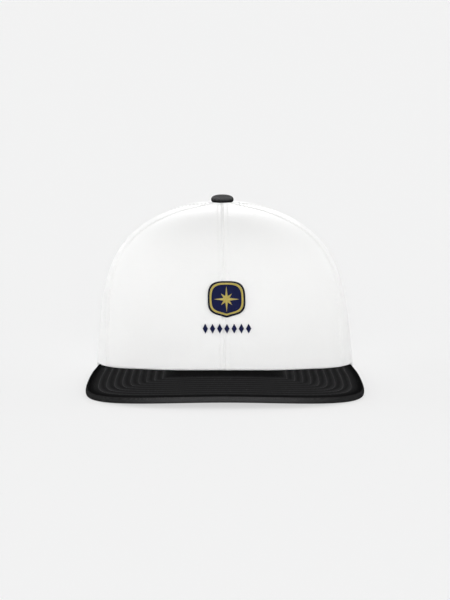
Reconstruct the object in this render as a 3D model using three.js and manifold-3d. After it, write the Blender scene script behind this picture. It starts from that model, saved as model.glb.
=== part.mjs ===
// A snapback cap: six sewn crown panels with a covered button, a two-ply flat peak, a sweatband,
// a half-moon opening at the back closed by two snap straps, and a stitched badge with a row of
// lozenges under it. Millimetres, +Z up, the peak towards -Y. The cap stands on z = 0.
// Left and right are the wearer's, so left is +X.

import * as THREE from "three";
import Module from "manifold-3d";
import { mergeVertices } from "three/addons/utils/BufferGeometryUtils.js";

const wasm = await Module();
wasm.setup();

// Clearances and walls
const seatGap = 0.3; // between two pieces that touch
const liningGap = 0.5; // between the crown and what is sewn inside it
const panelWall = 1.8;
const plyWall = 1.75; // each of the peak's two plies
const bandWall = 1.2;
const tapeWall = 0.9;

// Crown
const crownHalfWidth = 88.2;
const crownFrontReach = 98; // from the button's axis to the front rim
const crownBackReach = 98;
const crownHeight = 111.5;
const crownTaper = 0.135; // share of its width that the crown loses from the rim to the top
const planSquareness = 2.35; // superellipse exponents: 2 is an ellipse, more is squarer
const rimStraight = 0.5; // rise, in radians, up to which the wall's thickness is nearly level
const eyeRadius = 3; // the hole under the button
const panelRows = 14;

// The profile's exponents, outward and upward, where the crown faces forward, sideways and back
const profiles = {
  front: { out: 3.1, up: 3.3 },
  side: { out: 1.8, up: 4.95 },
  back: { out: 3, up: 3.1 },
};

// Each seam's angle from the front centre line, in degrees, at the rim and at the button, and how far it
// bows back between them
const seams = {
  front: { rim: 0, top: 0, bow: 0 },
  sideFront: { rim: 60.5, top: 58, bow: 11 },
  sideBack: { rim: 122, top: 120, bow: 0 },
  back: { rim: 180, top: 180, bow: 0 },
};

// Each pair of panels: the seams it lies between, how far it puffs out and its facets round the head
const panels = {
  front: { from: seams.front, to: seams.sideFront, puff: 0.5, columns: 9 },
  side: { from: seams.sideFront, to: seams.sideBack, puff: 0.8, columns: 9 },
  back: { from: seams.sideBack, to: seams.back, puff: 0.8, columns: 4 },
};

// Half-moon opening and its tape
const archHalfWidth = 49;
const archHeight = 57;
const archSquareness = 2.3;
const archColumns = 9;
const tapeWidth = 8;

// Peak
const peakReach = 68; // past the front rim, on the centre line
const peakFlare = 3.8; // how much wider each side is than the crown at the peak's tips
const peakFlareEase = 1.4; // 1 flares in a straight line, more is rounder
const peakCornerDepth = 61; // from the widest line to the front edge
const peakCornerSquareness = 3;
const peakTipAngle = 72.5; // degrees from the front centre line
const peakTipMargin = 1; // degrees past a tip before the rim starts to come down
const peakTipFade = 12; // degrees over which it comes down
const peakRearLift = 8.2; // height of the sole on the centre line, at the front rim
const peakFrontLift = 3.1; // and at the front edge
const peakBendOrigin = 65; // the bend's rulings meet this far behind the button's axis
const peakEdgeRound = 1.4; // radius of the outer edge, above and below
const peakColumns = 28;
const peakFlatRows = 4;
const peakEdgeRows = 3;

// Sweatband
const bandHeight = 30;
const bandColumns = 48;

// Snap straps
const strapWidth = 18;
const strapWall = 1.4;
const strapFoot = 1; // its lower edge above z = 0
const strapRoot = 13; // length sewn inside the crown
const snapPitch = 9.5;
const snapCount = 7; // holes in one strap, pegs on the other
const snapsFastened = 5;
const holeRadius = 2.7;
const pegClearance = 0.4;
const pegHeadLip = 0.35; // how far a peg's head is wider than its hole
const pegHeadHeight = 1;

// Button
const buttonRadius = 7.7;
const buttonFootRadius = 6.6; // where it meets the crown
const buttonWaistRise = 1.8; // height of its widest line over its foot
const buttonHeight = 6.2;
const buttonSquareness = 2.5;
const shankClearance = 0.8;
const shankTail = 1.2; // past the inside of the crown

// Badge on the front
const badgeRise = 57.5; // height of its centre
const badgeHalfWidth = 12.2;
const badgeHalfHeight = 11.4;
const badgeWall = 0.9;
const motifWall = 0.6;
const borderOuterShare = 0.9;
const borderInnerShare = 0.79;
const starRadius = 8.2;
const starWaist = 2.1; // radius between the star's points
const starMinorShare = 0.62; // length of the diagonal points
const lozengeCount = 7;
const lozengePitch = 4.7;
const lozengeHalfWidth = 1.7;
const lozengeHalfHeight = 3.1;
const lozengeRise = 39;

const degrees = THREE.MathUtils.degToRad;
const mix = THREE.MathUtils.lerp;
const halfTurn = Math.PI;
const quarterTurn = Math.PI / 2;

// The crown's surface

// Radius of the crown's plan at an angle from the front centre line: a superellipse.
function planRadius(azimuth) {
  const reach = Math.cos(azimuth) >= 0 ? crownFrontReach : crownBackReach;
  const across = Math.abs(Math.sin(azimuth)) / crownHalfWidth;
  const along = Math.abs(Math.cos(azimuth)) / reach;
  return (across ** planSquareness + along ** planSquareness) ** (-1 / planSquareness);
}

// The profile's exponents at an angle, mixed between the three directions.
function profileAt(azimuth) {
  const end = Math.cos(azimuth) >= 0 ? profiles.front : profiles.back;
  const share = Math.cos(azimuth) ** 2;
  return { out: mix(profiles.side.out, end.out, share), up: mix(profiles.side.up, end.up, share) };
}

// The profile is out ** a + up ** b = 1, with out and up as shares. Rise is the angle whose tangent is
// up / out: 0 on the rim's plane and a quarter turn at the top. Newton's method finds the point.
function sharesAt(azimuth, rise) {
  const powers = profileAt(azimuth);
  let size = 1;
  for (let pass = 0; pass < 9; pass++) {
    const out = (size * Math.cos(rise)) ** powers.out;
    const up = (size * Math.sin(rise)) ** powers.up;
    size -= (size * (out + up - 1)) / (powers.out * out + powers.up * up);
  }
  return { out: size * Math.cos(rise), up: size * Math.sin(rise) };
}

// Horizontal distance from the axis: the crown narrows steadily from the rim to the top.
function reachAt(azimuth, rise) {
  const { out, up } = sharesAt(azimuth, rise);
  return planRadius(azimuth) * out * (1 - crownTaper * up);
}

function riseAtHeight(azimuth, height) {
  const powers = profileAt(azimuth);
  const up = Math.max(height, 0) / crownHeight;
  return Math.atan2(up, (1 - up ** powers.up) ** (1 / powers.out));
}

// Near the top only, where the crown is nearly level.
function riseAtReach(azimuth, reach) {
  const powers = profileAt(azimuth);
  const out = reach / (planRadius(azimuth) * (1 - crownTaper));
  return Math.atan2((1 - out ** powers.out) ** (1 / powers.up), out);
}

function smoothPoint(azimuth, rise) {
  const reach = reachAt(azimuth, rise);
  const height = crownHeight * sharesAt(azimuth, rise).up;
  return new THREE.Vector3(reach * Math.sin(azimuth), -reach * Math.cos(azimuth), height);
}

// Outward normal: the way round crossed with the way up the profile.
function crownNormal(azimuth, rise) {
  const step = 0.002;
  const round = smoothPoint(azimuth + step, rise).sub(smoothPoint(azimuth - step, rise));
  const upper = smoothPoint(azimuth, Math.min(rise + step, quarterTurn));
  const lower = smoothPoint(azimuth, Math.max(rise - step, 0));
  return round.cross(upper.sub(lower)).normalize();
}

function seamAngle(seam, rise) {
  return degrees(mix(seam.rim, seam.top, rise / quarterTurn) + seam.bow * Math.sin(2 * rise) ** 3);
}

// How far the cloth stands out between two seams: nothing at a seam, at the rim or at the button.
function puffAt(azimuth, rise) {
  const turn = Math.abs(Math.atan2(Math.sin(azimuth), Math.cos(azimuth)));
  for (const { from, to, puff } of Object.values(panels)) {
    const start = seamAngle(from, rise);
    const end = seamAngle(to, rise);
    if (turn > end) continue;
    const across = Math.max(Math.sin((halfTurn * (turn - start)) / (end - start)), 0);
    return puff * Math.sqrt(across * Math.max(Math.sin(2 * rise), 0));
  }
  return 0;
}

// A point of the crown at a depth under its outside. Depths turn level towards the rim.
function crownPoint(azimuth, rise, depth = 0) {
  const direction = crownNormal(azimuth, rise);
  direction.z *= Math.min(rise / rimStraight, 1);
  return smoothPoint(azimuth, rise).addScaledVector(direction, puffAt(azimuth, rise) - depth);
}

// The angle at which the front or back wall has a given x at a given height.
function azimuthAt(x, height, back) {
  let turn = 0;
  for (let pass = 0; pass < 8; pass++) {
    const azimuth = back ? halfTurn - turn : turn;
    turn = Math.asin(x / reachAt(azimuth, riseAtHeight(azimuth, height)));
  }
  return back ? halfTurn - turn : turn;
}

// Closed geometry

// A closed wall between two grids of points: pointAt(column, row, face), where face 0 is seen
// with its columns running right and its rows running up, and face 1 is behind it.
function wallGeometry(columns, rows, pointAt) {
  const positions = [];
  const indices = [];
  const index = (i, j, face) => (face * (columns + 1) + i) * (rows + 1) + j;
  const quad = (a, b, c, d) => indices.push(a, b, c, a, c, d);
  for (const face of [0, 1])
    for (let i = 0; i <= columns; i++)
      for (let j = 0; j <= rows; j++) positions.push(...pointAt(i, j, face).toArray());
  for (let i = 0; i < columns; i++)
    for (let j = 0; j < rows; j++) {
      quad(index(i, j, 0), index(i + 1, j, 0), index(i + 1, j + 1, 0), index(i, j + 1, 0));
      quad(index(i, j, 1), index(i, j + 1, 1), index(i + 1, j + 1, 1), index(i + 1, j, 1));
    }
  for (let i = 0; i < columns; i++) {
    quad(index(i, 0, 0), index(i, 0, 1), index(i + 1, 0, 1), index(i + 1, 0, 0));
    quad(index(i, rows, 0), index(i + 1, rows, 0), index(i + 1, rows, 1), index(i, rows, 1));
  }
  for (let j = 0; j < rows; j++) {
    quad(index(0, j, 0), index(0, j + 1, 0), index(0, j + 1, 1), index(0, j, 1));
    quad(index(columns, j, 0), index(columns, j, 1), index(columns, j + 1, 1), index(columns, j + 1, 0));
  }
  const geometry = new THREE.BufferGeometry();
  geometry.setAttribute("position", new THREE.Float32BufferAttribute(positions, 3));
  geometry.setIndex(indices);
  return geometry;
}

function mirroredGeometry(geometry) {
  const mirrored = geometry.clone().scale(-1, 1, 1);
  const index = mirrored.index;
  for (let i = 0; i < index.count; i += 3) {
    const second = index.getX(i + 1);
    index.setX(i + 1, index.getX(i + 2));
    index.setX(i + 2, second);
  }
  return mirrored;
}

function toSolid(geometry) {
  const bare = geometry.clone();
  for (const name of ["normal", "uv"]) bare.deleteAttribute(name);
  const merged = mergeVertices(bare, 1e-4);
  const vertProperties = new Float32Array(merged.attributes.position.array);
  const triVerts = new Uint32Array(merged.index.array);
  return new wasm.Manifold(new wasm.Mesh({ numProp: 3, vertProperties, triVerts }));
}

function fromSolid(solid) {
  const { vertProperties, triVerts } = solid.getMesh();
  const geometry = new THREE.BufferGeometry();
  geometry.setAttribute("position", new THREE.Float32BufferAttribute(vertProperties, 3));
  geometry.setIndex([...triVerts]);
  return geometry;
}

// Peak

const rimTip = smoothPoint(degrees(peakTipAngle), 0);
const peakFront = -(crownFrontReach + peakReach);

// The peak's outer edge in plan, tip to tip: a superellipse round the front and an easy curve to each tip.
class PeakEdge extends THREE.Curve {
  getPoint(t) {
    const side = Math.sign(t - 0.5);
    const along = Math.abs(2 * t - 1);
    const frontShare = 0.58;
    const halfWidth = rimTip.x + peakFlare;
    const wideLine = peakFront + peakCornerDepth;
    if (along < frontShare) {
      const turn = (along / frontShare) * quarterTurn;
      const power = 2 / peakCornerSquareness;
      const x = halfWidth * Math.sin(turn) ** power;
      return new THREE.Vector3(side * x, wideLine - peakCornerDepth * Math.cos(turn) ** power, 0);
    }
    const back = (along - frontShare) / (1 - frontShare);
    const x = mix(halfWidth, rimTip.x, back ** peakFlareEase);
    return new THREE.Vector3(side * x, mix(wideLine, rimTip.y, back), 0);
  }
}

const peakEdge = new PeakEdge();

function centreLift(y) {
  return mix(peakRearLift, peakFrontLift, (-y - crownFrontReach) / peakReach);
}

// How hard the peak bends, so that its sides just come down to z = 0.
const peakBend = Math.min(
  ...peakEdge
    .getSpacedPoints(peakColumns)
    .map((point) => (centreLift(point.y) * (peakBendOrigin - point.y)) / point.x ** 2),
);

// Height of the peak's under face: a shallow cone with its rulings running fore and aft.
function soleHeight(x, y) {
  return centreLift(y) - (peakBend * x ** 2) / (peakBendOrigin - y);
}

const peakThickness = 2 * plyWall + seatGap;

const rimBreak = degrees(peakTipAngle + peakTipMargin);

function tipShare(azimuth) {
  return 1 - THREE.MathUtils.smoothstep(Math.abs(azimuth) - rimBreak, 0, degrees(peakTipFade));
}

// Lower edge of the sweatband: level with the sole in front, on z = 0 elsewhere.
function footHeight(azimuth) {
  const share = tipShare(azimuth);
  if (share === 0) return 0;
  const turn = Math.min(Math.abs(azimuth), degrees(peakTipAngle));
  const inner = crownPoint(turn, 0, panelWall);
  return share * soleHeight(inner.x, inner.y);
}

// Lower edge of the crown: on the peak in front, on z = 0 elsewhere.
function rimHeight(azimuth) {
  const share = tipShare(azimuth);
  if (share === 0) return 0;
  const turn = Math.min(Math.abs(azimuth), degrees(peakTipAngle));
  const outer = crownPoint(turn, 0);
  const inner = crownPoint(turn, 0, panelWall);
  const sole = Math.max(soleHeight(outer.x, outer.y), soleHeight(inner.x, inner.y));
  return share * (sole + peakThickness + seatGap);
}

// One ply of the peak, from the sweatband to the outer edge. The under ply's edge is rounded below, the
// upper one's above, by a quarter circle.
function peakPly(isUpper) {
  const tip = degrees(peakTipAngle);
  const rows = peakFlatRows + peakEdgeRows;
  return wallGeometry(peakColumns, rows, (i, j, face) => {
    const azimuth = mix(-tip, tip, i / peakColumns);
    const inner = crownPoint(azimuth, 0, panelWall).setZ(0);
    const outer = peakEdge.getPointAt(i / peakColumns);
    const turn = (Math.max(j - peakFlatRows, 0) / peakEdgeRows) * quarterTurn;
    const inset = peakEdgeRound * (1 - Math.sin(turn));
    const flatShare = Math.min(j / peakFlatRows, 1);
    const point = inner.lerp(outer, flatShare * (1 - inset / inner.distanceTo(outer)));
    const onTop = face === 1;
    const drop = onTop === isUpper ? peakEdgeRound * (1 - Math.cos(turn)) : 0;
    const base = soleHeight(point.x, point.y) + (isUpper ? plyWall + seatGap : 0);
    return point.setZ(onTop ? base + plyWall - drop : base + drop);
  });
}

// Crown panels

// The half-moon's edge, from its foot at share 0 to its top at share 1.
function archPoint(share, margin = 0) {
  const turn = share * quarterTurn;
  const power = 2 / archSquareness;
  const x = (archHalfWidth + margin) * Math.cos(turn) ** power;
  return { x, height: (archHeight + margin) * Math.sin(turn) ** power };
}

// Even angles along a panel's rim, with one of them where the rim starts to come down past the peak.
function rimAngles(start, end, columns) {
  const even = (from, to, count) => Array.from({ length: count }, (_, i) => mix(from, to, i / count));
  if (rimBreak <= start || rimBreak >= end) return [...even(start, end, columns), end];
  const share = Math.round((columns * (rimBreak - start)) / (end - start));
  const first = THREE.MathUtils.clamp(share, 1, columns - 1);
  return [...even(start, rimBreak, first), ...even(rimBreak, end, columns - first), end];
}

// Each column's place across a panel and the rise at which its lower edge lies.
function columnsOf(panel) {
  const rimStart = degrees(panel.from.rim);
  const rimEnd = panel === panels.back ? azimuthAt(archHalfWidth, 0, true) : degrees(panel.to.rim);
  const list = rimAngles(rimStart, rimEnd, panel.columns).map((azimuth) => ({
    across: (azimuth - rimStart) / (degrees(panel.to.rim) - rimStart),
    start: riseAtHeight(azimuth, rimHeight(azimuth)),
  }));
  if (panel !== panels.back) return list;
  for (let i = 1; i <= archColumns; i++) {
    const { x, height } = archPoint(i / archColumns);
    const azimuth = azimuthAt(x, height, true);
    const start = riseAtHeight(azimuth, height);
    const from = seamAngle(panel.from, start);
    list.push({ across: (azimuth - from) / (seamAngle(panel.to, start) - from), start });
  }
  return list;
}

// One crown panel of the left side, kept half a gap clear of each seam.
function panelGeometry(panel) {
  const columns = columnsOf(panel);
  return wallGeometry(columns.length - 1, panelRows, (i, j, face) => {
    const { across, start } = columns[i];
    const topAngle = mix(degrees(panel.from.top), degrees(panel.to.top), across);
    const rise = mix(start, riseAtReach(topAngle, eyeRadius), j / panelRows);
    const azimuth = mix(seamAngle(panel.from, rise), seamAngle(panel.to, rise), across);
    const clear = Math.asin(seatGap / 2 / reachAt(azimuth, rise));
    const towards = 1 - 2 * across;
    const atSeam = i === 0 || i === columns.length - 1;
    return crownPoint(azimuth + (atSeam ? towards * clear : 0), rise, face * panelWall);
  });
}

// Button: a cushion shape, with a shank through the hole where the panels meet
function buttonGeometry() {
  const shankRadius = eyeRadius - shankClearance;
  const profile = [
    new THREE.Vector2(0, -(panelWall + shankTail)),
    new THREE.Vector2(shankRadius, -(panelWall + shankTail)),
    new THREE.Vector2(shankRadius, seatGap),
    new THREE.Vector2(buttonFootRadius, seatGap),
  ];
  const steps = 6;
  const waist = seatGap + buttonWaistRise;
  for (let i = 0; i <= steps; i++) {
    const turn = (i / steps) * quarterTurn;
    const power = 2 / buttonSquareness;
    const radius = i === steps ? 0 : buttonRadius * Math.cos(turn) ** power;
    profile.push(new THREE.Vector2(radius, waist + (buttonHeight - buttonWaistRise) * Math.sin(turn) ** power));
  }
  return new THREE.LatheGeometry(profile, 24).rotateX(quarterTurn);
}

// Inside the back: the straps' line, from the back centre towards +X

const strapMiddle = strapFoot + strapWidth / 2;
const outerLayer = panelWall + liningGap;
const innerLayer = outerLayer + strapWall + seatGap;

class BackLine extends THREE.Curve {
  getPoint(t) {
    const azimuth = halfTurn - t * quarterTurn;
    return crownPoint(azimuth, riseAtHeight(azimuth, strapMiddle), outerLayer);
  }
}

const backLine = new BackLine();

function backAzimuth(distance) {
  const t = backLine.getUtoTmapping(0, Math.abs(distance));
  return halfTurn - Math.sign(distance) * t * quarterTurn;
}

function backDistance(azimuth) {
  const lengths = backLine.getLengths();
  return lengths[Math.round(((halfTurn - azimuth) / quarterTurn) * (lengths.length - 1))];
}

const archFoot = backDistance(azimuthAt(archHalfWidth, 0, true));
const strapEnd = archFoot + strapRoot;
const lastSnap = ((snapsFastened - 1) / 2) * snapPitch; // of those that are fastened
const pegHeadRadius = holeRadius + pegHeadLip;
const strapReach = lastSnap + snapPitch - pegHeadRadius - seatGap; // past the back centre, short of the next peg

function backPoint(distance, height, depth) {
  const azimuth = backAzimuth(distance);
  return crownPoint(azimuth, riseAtHeight(azimuth, height), depth);
}

// A strap from its sewn end to its tip, on the +X side, at a depth given along its line.
function strapPlate(depthAt) {
  const columns = 28;
  return wallGeometry(columns, 1, (i, j, face) => {
    const distance = mix(strapEnd, -strapReach, i / columns);
    const depth = depthAt(distance) + face * strapWall;
    return backPoint(distance, strapFoot + j * strapWidth, depth);
  });
}

// Two corner pieces that leave a half-round tip when they are cut away.
function tipCutter() {
  const radius = strapWidth / 2;
  const reach = 4 * strapWall;
  const start = backPoint(-strapReach, strapMiddle, outerLayer);
  const shape = new THREE.Shape();
  shape.moveTo(radius, -strapWidth);
  shape.lineTo(-strapWidth, -strapWidth);
  shape.lineTo(-strapWidth, strapWidth);
  shape.lineTo(radius, strapWidth);
  shape.lineTo(radius, radius);
  shape.absarc(radius, 0, radius, quarterTurn, 3 * quarterTurn, false);
  shape.closePath();
  const cutter = new THREE.ExtrudeGeometry(shape, { depth: 2 * reach, bevelEnabled: false, curveSegments: 12 });
  cutter.translate(0, 0, -reach).rotateX(quarterTurn);
  return toSolid(cutter.translate(start.x, start.y, strapMiddle));
}

// A round piece from a lathe profile, its axis on the strap's outward normal.
function snapPiece(profile, distance, depth, sides) {
  const azimuth = backAzimuth(distance);
  const normal = crownNormal(azimuth, riseAtHeight(azimuth, strapMiddle));
  const turn = new THREE.Quaternion().setFromUnitVectors(new THREE.Vector3(0, 1, 0), normal);
  const geometry = new THREE.LatheGeometry(profile, sides).applyQuaternion(turn);
  return toSolid(geometry.translate(...backPoint(distance, strapMiddle, depth).toArray()));
}

// Places of the holes and of the pegs, from each strap's tip back towards its sewn end.
function snapPlaces() {
  return Array.from({ length: snapCount }, (_, i) => i * snapPitch - lastSnap);
}

// The strap with holes: on the wearer's right, outside the other.
function holeStrapGeometry() {
  const reach = 2 * strapWall;
  const profile = [
    new THREE.Vector2(0, -reach),
    new THREE.Vector2(holeRadius, -reach),
    new THREE.Vector2(holeRadius, reach),
    new THREE.Vector2(0, reach),
  ];
  let strap = toSolid(strapPlate(() => outerLayer)).subtract(tipCutter());
  for (const place of snapPlaces()) {
    strap = strap.subtract(snapPiece(profile, place, outerLayer + strapWall / 2, 12));
  }
  return mirroredGeometry(fromSolid(strap));
}

// The strap with pegs: on the wearer's left. It passes inside the other and comes out to its sewn end.
function pegStrapGeometry() {
  const depthAt = (distance) =>
    mix(innerLayer, outerLayer, THREE.MathUtils.smoothstep(distance, strapReach + seatGap, archFoot));
  const pegRadius = holeRadius - pegClearance;
  const neck = strapWall + 2 * seatGap;
  const root = -strapWall / 2;
  const profile = [
    new THREE.Vector2(0, root),
    new THREE.Vector2(pegRadius, root),
    new THREE.Vector2(pegRadius, neck),
    new THREE.Vector2(pegHeadRadius, neck),
    new THREE.Vector2(0.7 * pegHeadRadius, neck + 0.8 * pegHeadHeight),
    new THREE.Vector2(0, neck + pegHeadHeight),
  ];
  let strap = toSolid(strapPlate(depthAt)).subtract(tipCutter());
  for (const place of snapPlaces()) {
    strap = strap.add(snapPiece(profile, place, depthAt(place), 10));
  }
  return fromSolid(strap);
}

// Sweatband, open at the back between the straps' sewn ends
function sweatbandGeometry() {
  const end = backAzimuth(strapEnd + seatGap);
  const rows = 2;
  return wallGeometry(bandColumns, rows, (i, j, face) => {
    const azimuth = mix(-end, end, i / bandColumns);
    const height = footHeight(azimuth) + (j / rows) * bandHeight;
    const depth = panelWall + liningGap + face * bandWall;
    return crownPoint(azimuth, riseAtHeight(azimuth, height), depth);
  });
}

// Tape inside the half-moon's edge, from strap to strap
function archTapeGeometry() {
  const first = strapFoot + strapWidth + liningGap;
  const start = Math.asin((first / archHeight) ** (archSquareness / 2)) / quarterTurn;
  const columns = 24;
  return wallGeometry(columns, 1, (i, j, face) => {
    const along = mix(-1, 1, i / columns);
    const share = mix(1, start, Math.abs(along));
    const { x, height } = archPoint(share, j * tapeWidth);
    const azimuth = azimuthAt(-Math.sign(along) * x, Math.max(height, first), true);
    const depth = panelWall + liningGap + face * tapeWall;
    return crownPoint(azimuth, riseAtHeight(azimuth, Math.max(height, first)), depth);
  });
}

// Badge and lozenges

// A piece sewn on the front: a lathe profile of (share of the outline, lift) round a centre.
function sewnOn(profile, outlineAt, sides, centre) {
  const points = profile.map(([share, lift]) => new THREE.Vector2(share, lift));
  const geometry = new THREE.LatheGeometry(points, sides);
  const position = geometry.attributes.position;
  const vertex = new THREE.Vector3();
  for (let i = 0; i < position.count; i++) {
    vertex.fromBufferAttribute(position, i);
    const angle = Math.atan2(vertex.x, vertex.z);
    const size = outlineAt(angle) * Math.hypot(vertex.x, vertex.z);
    const height = centre.height + size * Math.cos(angle);
    const azimuth = azimuthAt(centre.x - size * Math.sin(angle), height, false);
    const rise = riseAtHeight(azimuth, height);
    const lift = panels.front.puff + seatGap + vertex.y;
    const point = smoothPoint(azimuth, rise).addScaledVector(crownNormal(azimuth, rise), lift);
    position.setXYZ(i, point.x, point.y, point.z);
  }
  return geometry;
}

// The badge's outline: a shield, round above and drawn to a point below. Angle 0 is up.
function shieldAt(angle) {
  const across = Math.abs(Math.sin(angle)) / badgeHalfWidth;
  const along = Math.abs(Math.cos(angle)) / badgeHalfHeight;
  const squareness = Math.cos(angle) > 0 ? 3.2 : mix(3.2, 1.45, Math.cos(angle) ** 2);
  return (across ** squareness + along ** squareness) ** (-1 / squareness);
}

// An eight-pointed compass star with straight edges between its points and its waist.
function starAt(angle) {
  const step = quarterTurn / 4;
  const slot = ((angle % (2 * halfTurn)) + 2 * halfTurn) / step;
  const cornerRadius = (k) => (k % 2 ? starWaist : k % 4 ? starRadius * starMinorShare : starRadius);
  const low = Math.floor(slot + 1e-6);
  const from = cornerRadius(low % 16);
  const to = cornerRadius((low + 1) % 16);
  const part = (slot - low) * step;
  const area = from * to * Math.sin(step);
  return area / (from * Math.sin(part) + to * Math.sin(step - part));
}

function lozengeAt(angle) {
  return 1 / (Math.abs(Math.sin(angle)) / lozengeHalfWidth + Math.abs(Math.cos(angle)) / lozengeHalfHeight);
}

const badgeCentre = { x: 0, height: badgeRise };

function badgeGeometry() {
  const profile = [[0, 0], [0.5, 0], [1, 0], [1, 0.7 * badgeWall], [0.97, badgeWall], [0.5, badgeWall], [0, badgeWall]];
  return sewnOn(profile, shieldAt, 40, badgeCentre);
}

function badgeBorderGeometry() {
  const foot = badgeWall + seatGap;
  const middle = (borderInnerShare + borderOuterShare) / 2;
  const profile = [
    [borderInnerShare, foot],
    [borderOuterShare, foot],
    [borderOuterShare, foot + 0.6 * motifWall],
    [middle, foot + motifWall],
    [borderInnerShare, foot + 0.6 * motifWall],
    [borderInnerShare, foot],
  ];
  return sewnOn(profile, shieldAt, 40, badgeCentre);
}

function badgeStarGeometry() {
  const foot = badgeWall + seatGap;
  const profile = [[0, foot], [1, foot], [1, foot + 0.3 * motifWall], [0, foot + 1.6 * motifWall]];
  return sewnOn(profile, starAt, 16, badgeCentre);
}

function lozengeGeometry(place) {
  const profile = [[0, 0], [1, 0], [1, 0.4 * motifWall], [0.45, motifWall], [0, motifWall]];
  return sewnOn(profile, lozengeAt, 8, { x: place * lozengePitch, height: lozengeRise });
}

// Materials
const whiteTwill = new THREE.MeshStandardMaterial({ color: 0xf2f2f0, roughness: 0.9, metalness: 0 });
const blackTwill = new THREE.MeshStandardMaterial({ color: 0x1c1c1d, roughness: 0.85, metalness: 0 });
const whiteBand = new THREE.MeshStandardMaterial({ color: 0xe9e9e6, roughness: 0.95, metalness: 0 });
const blackPlastic = new THREE.MeshStandardMaterial({ color: 0x161617, roughness: 0.45, metalness: 0 });
const navyThread = new THREE.MeshStandardMaterial({ color: 0x141a4a, roughness: 0.6, metalness: 0 });
const goldThread = new THREE.MeshStandardMaterial({ color: 0xc9a545, roughness: 0.5, metalness: 0 });

// Assembly
const cap = new THREE.Group();

function place(name, geometry, material) {
  const mesh = new THREE.Mesh(geometry, material);
  mesh.name = name;
  cap.add(mesh);
  return mesh;
}

for (const [name, panel] of Object.entries(panels)) {
  const geometry = panelGeometry(panel);
  place(`${name}_panel_left`, geometry, whiteTwill);
  place(`${name}_panel_right`, mirroredGeometry(geometry), whiteTwill);
}
place("top_button", buttonGeometry(), blackTwill).position.z = crownHeight;
place("peak_upper", peakPly(true), blackTwill);
place("peak_under", peakPly(false), blackTwill);
place("sweatband", sweatbandGeometry(), whiteBand);
place("arch_tape", archTapeGeometry(), whiteBand);
place("snap_strap_holes", holeStrapGeometry(), blackPlastic);
place("snap_strap_pegs", pegStrapGeometry(), blackPlastic);
place("badge_patch", badgeGeometry(), navyThread);
place("badge_border", badgeBorderGeometry(), goldThread);
place("badge_star", badgeStarGeometry(), goldThread);
for (let i = 0; i < lozengeCount; i++) {
  const offset = i - (lozengeCount - 1) / 2;
  place(`lozenge_${i + 1}`, lozengeGeometry(offset), navyThread);
}

// The origin lies under the middle of the cap's length.
const box = new THREE.Box3().setFromObject(cap, true);
cap.position.y = -(box.min.y + box.max.y) / 2;

export default cap;
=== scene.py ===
import math

import bmesh
import bpy
import numpy as np
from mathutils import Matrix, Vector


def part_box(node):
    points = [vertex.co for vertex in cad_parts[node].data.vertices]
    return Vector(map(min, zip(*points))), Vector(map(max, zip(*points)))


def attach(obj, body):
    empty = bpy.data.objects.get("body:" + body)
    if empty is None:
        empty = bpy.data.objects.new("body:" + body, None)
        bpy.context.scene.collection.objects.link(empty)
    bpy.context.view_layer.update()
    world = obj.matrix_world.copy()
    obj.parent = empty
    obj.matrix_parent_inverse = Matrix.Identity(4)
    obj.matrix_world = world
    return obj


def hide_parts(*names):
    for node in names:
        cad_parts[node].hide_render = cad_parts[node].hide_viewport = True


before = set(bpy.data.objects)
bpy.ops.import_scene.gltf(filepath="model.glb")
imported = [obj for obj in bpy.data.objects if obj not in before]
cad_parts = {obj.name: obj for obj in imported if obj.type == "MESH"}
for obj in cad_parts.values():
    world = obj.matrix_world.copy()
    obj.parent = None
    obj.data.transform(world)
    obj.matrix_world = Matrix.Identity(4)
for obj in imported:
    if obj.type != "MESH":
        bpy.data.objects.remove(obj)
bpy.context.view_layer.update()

# A snapback cap: sewn cloth crown and flat peak, covered button, sweatband, half-moon opening, snap
# straps and a stitched badge. Shapes are worked out in millimetres round the crown's axis, with the
# peak towards -Y and the wearer's left at +X, and put in metres into the frame's own axes.

halfTurn = math.pi
fullTurn, quarterTurn = 2 * halfTurn, halfTurn / 2
buttonLow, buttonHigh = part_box("top_button")
axisY = 500 * (buttonLow[1] + buttonHigh[1])  # the crown's axis in the frame, in millimetres
crownLean = 0.016  # the soft crown leans a little to the wearer's right as it rises
rimRings = 4  # rings of points round the edge of a wall of cloth


# first + (second - first) * share
def mix(first, second, share):
    return first + (second - first) * share


# A smooth step: 3t^2 - 2t^3 of the clamped share t that x has of the way from low to high.
def smoothStep(x, low, high):
    share = np.clip((x - low) / (high - low), 0, 1)
    return share * share * (3 - 2 * share)


# A bell: e to the minus square of the distance from its middle, over its width.
def bell(x, middle, width):
    return np.exp(-(((x - middle) / width) ** 2))


# Vectors over their own lengths.
def unit(vectors):
    return vectors / np.maximum(np.linalg.norm(vectors, axis=-1, keepdims=True), 1e-12)


# Arrays spread to one shape and put side by side, as the coordinates of points.
def together(*parts):
    return np.stack(np.broadcast_arrays(*parts), axis=-1)


# Radius at an angle of the superellipse (|sin| / a)^p + (|cos| / b)^p = 1.
def superellipse(angle, a, b, power):
    return ((np.abs(np.sin(angle)) / a) ** power + (np.abs(np.cos(angle)) / b) ** power) ** (-1 / power)


# Cosine and sine of a turn, each to the power 2 / squareness, for going round a superellipse.
def squared(turn, squareness):
    return [np.maximum(part, 0) ** (2 / squareness) for part in (np.cos(turn), np.sin(turn))]


# The angles of evenly spaced sides, as a column.
def anglesOf(sides):
    return fullTurn * np.arange(sides)[:, None] / sides


# Length along a path of points, up to each of them.
def lengthAlong(path):
    return np.concatenate([[0], np.cumsum(np.linalg.norm(np.diff(path, axis=0), axis=1))])


# Values along a path, read in straight lines at given lengths of it.
def readAt(at, length, values):
    return together(*[np.interp(at, length, column) for column in values.T])


# Mesh building

# Vertex numbers of a grid, columns by rows.
def gridIndex(columns, rows):
    return np.arange(columns * rows).reshape(columns, rows)


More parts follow.
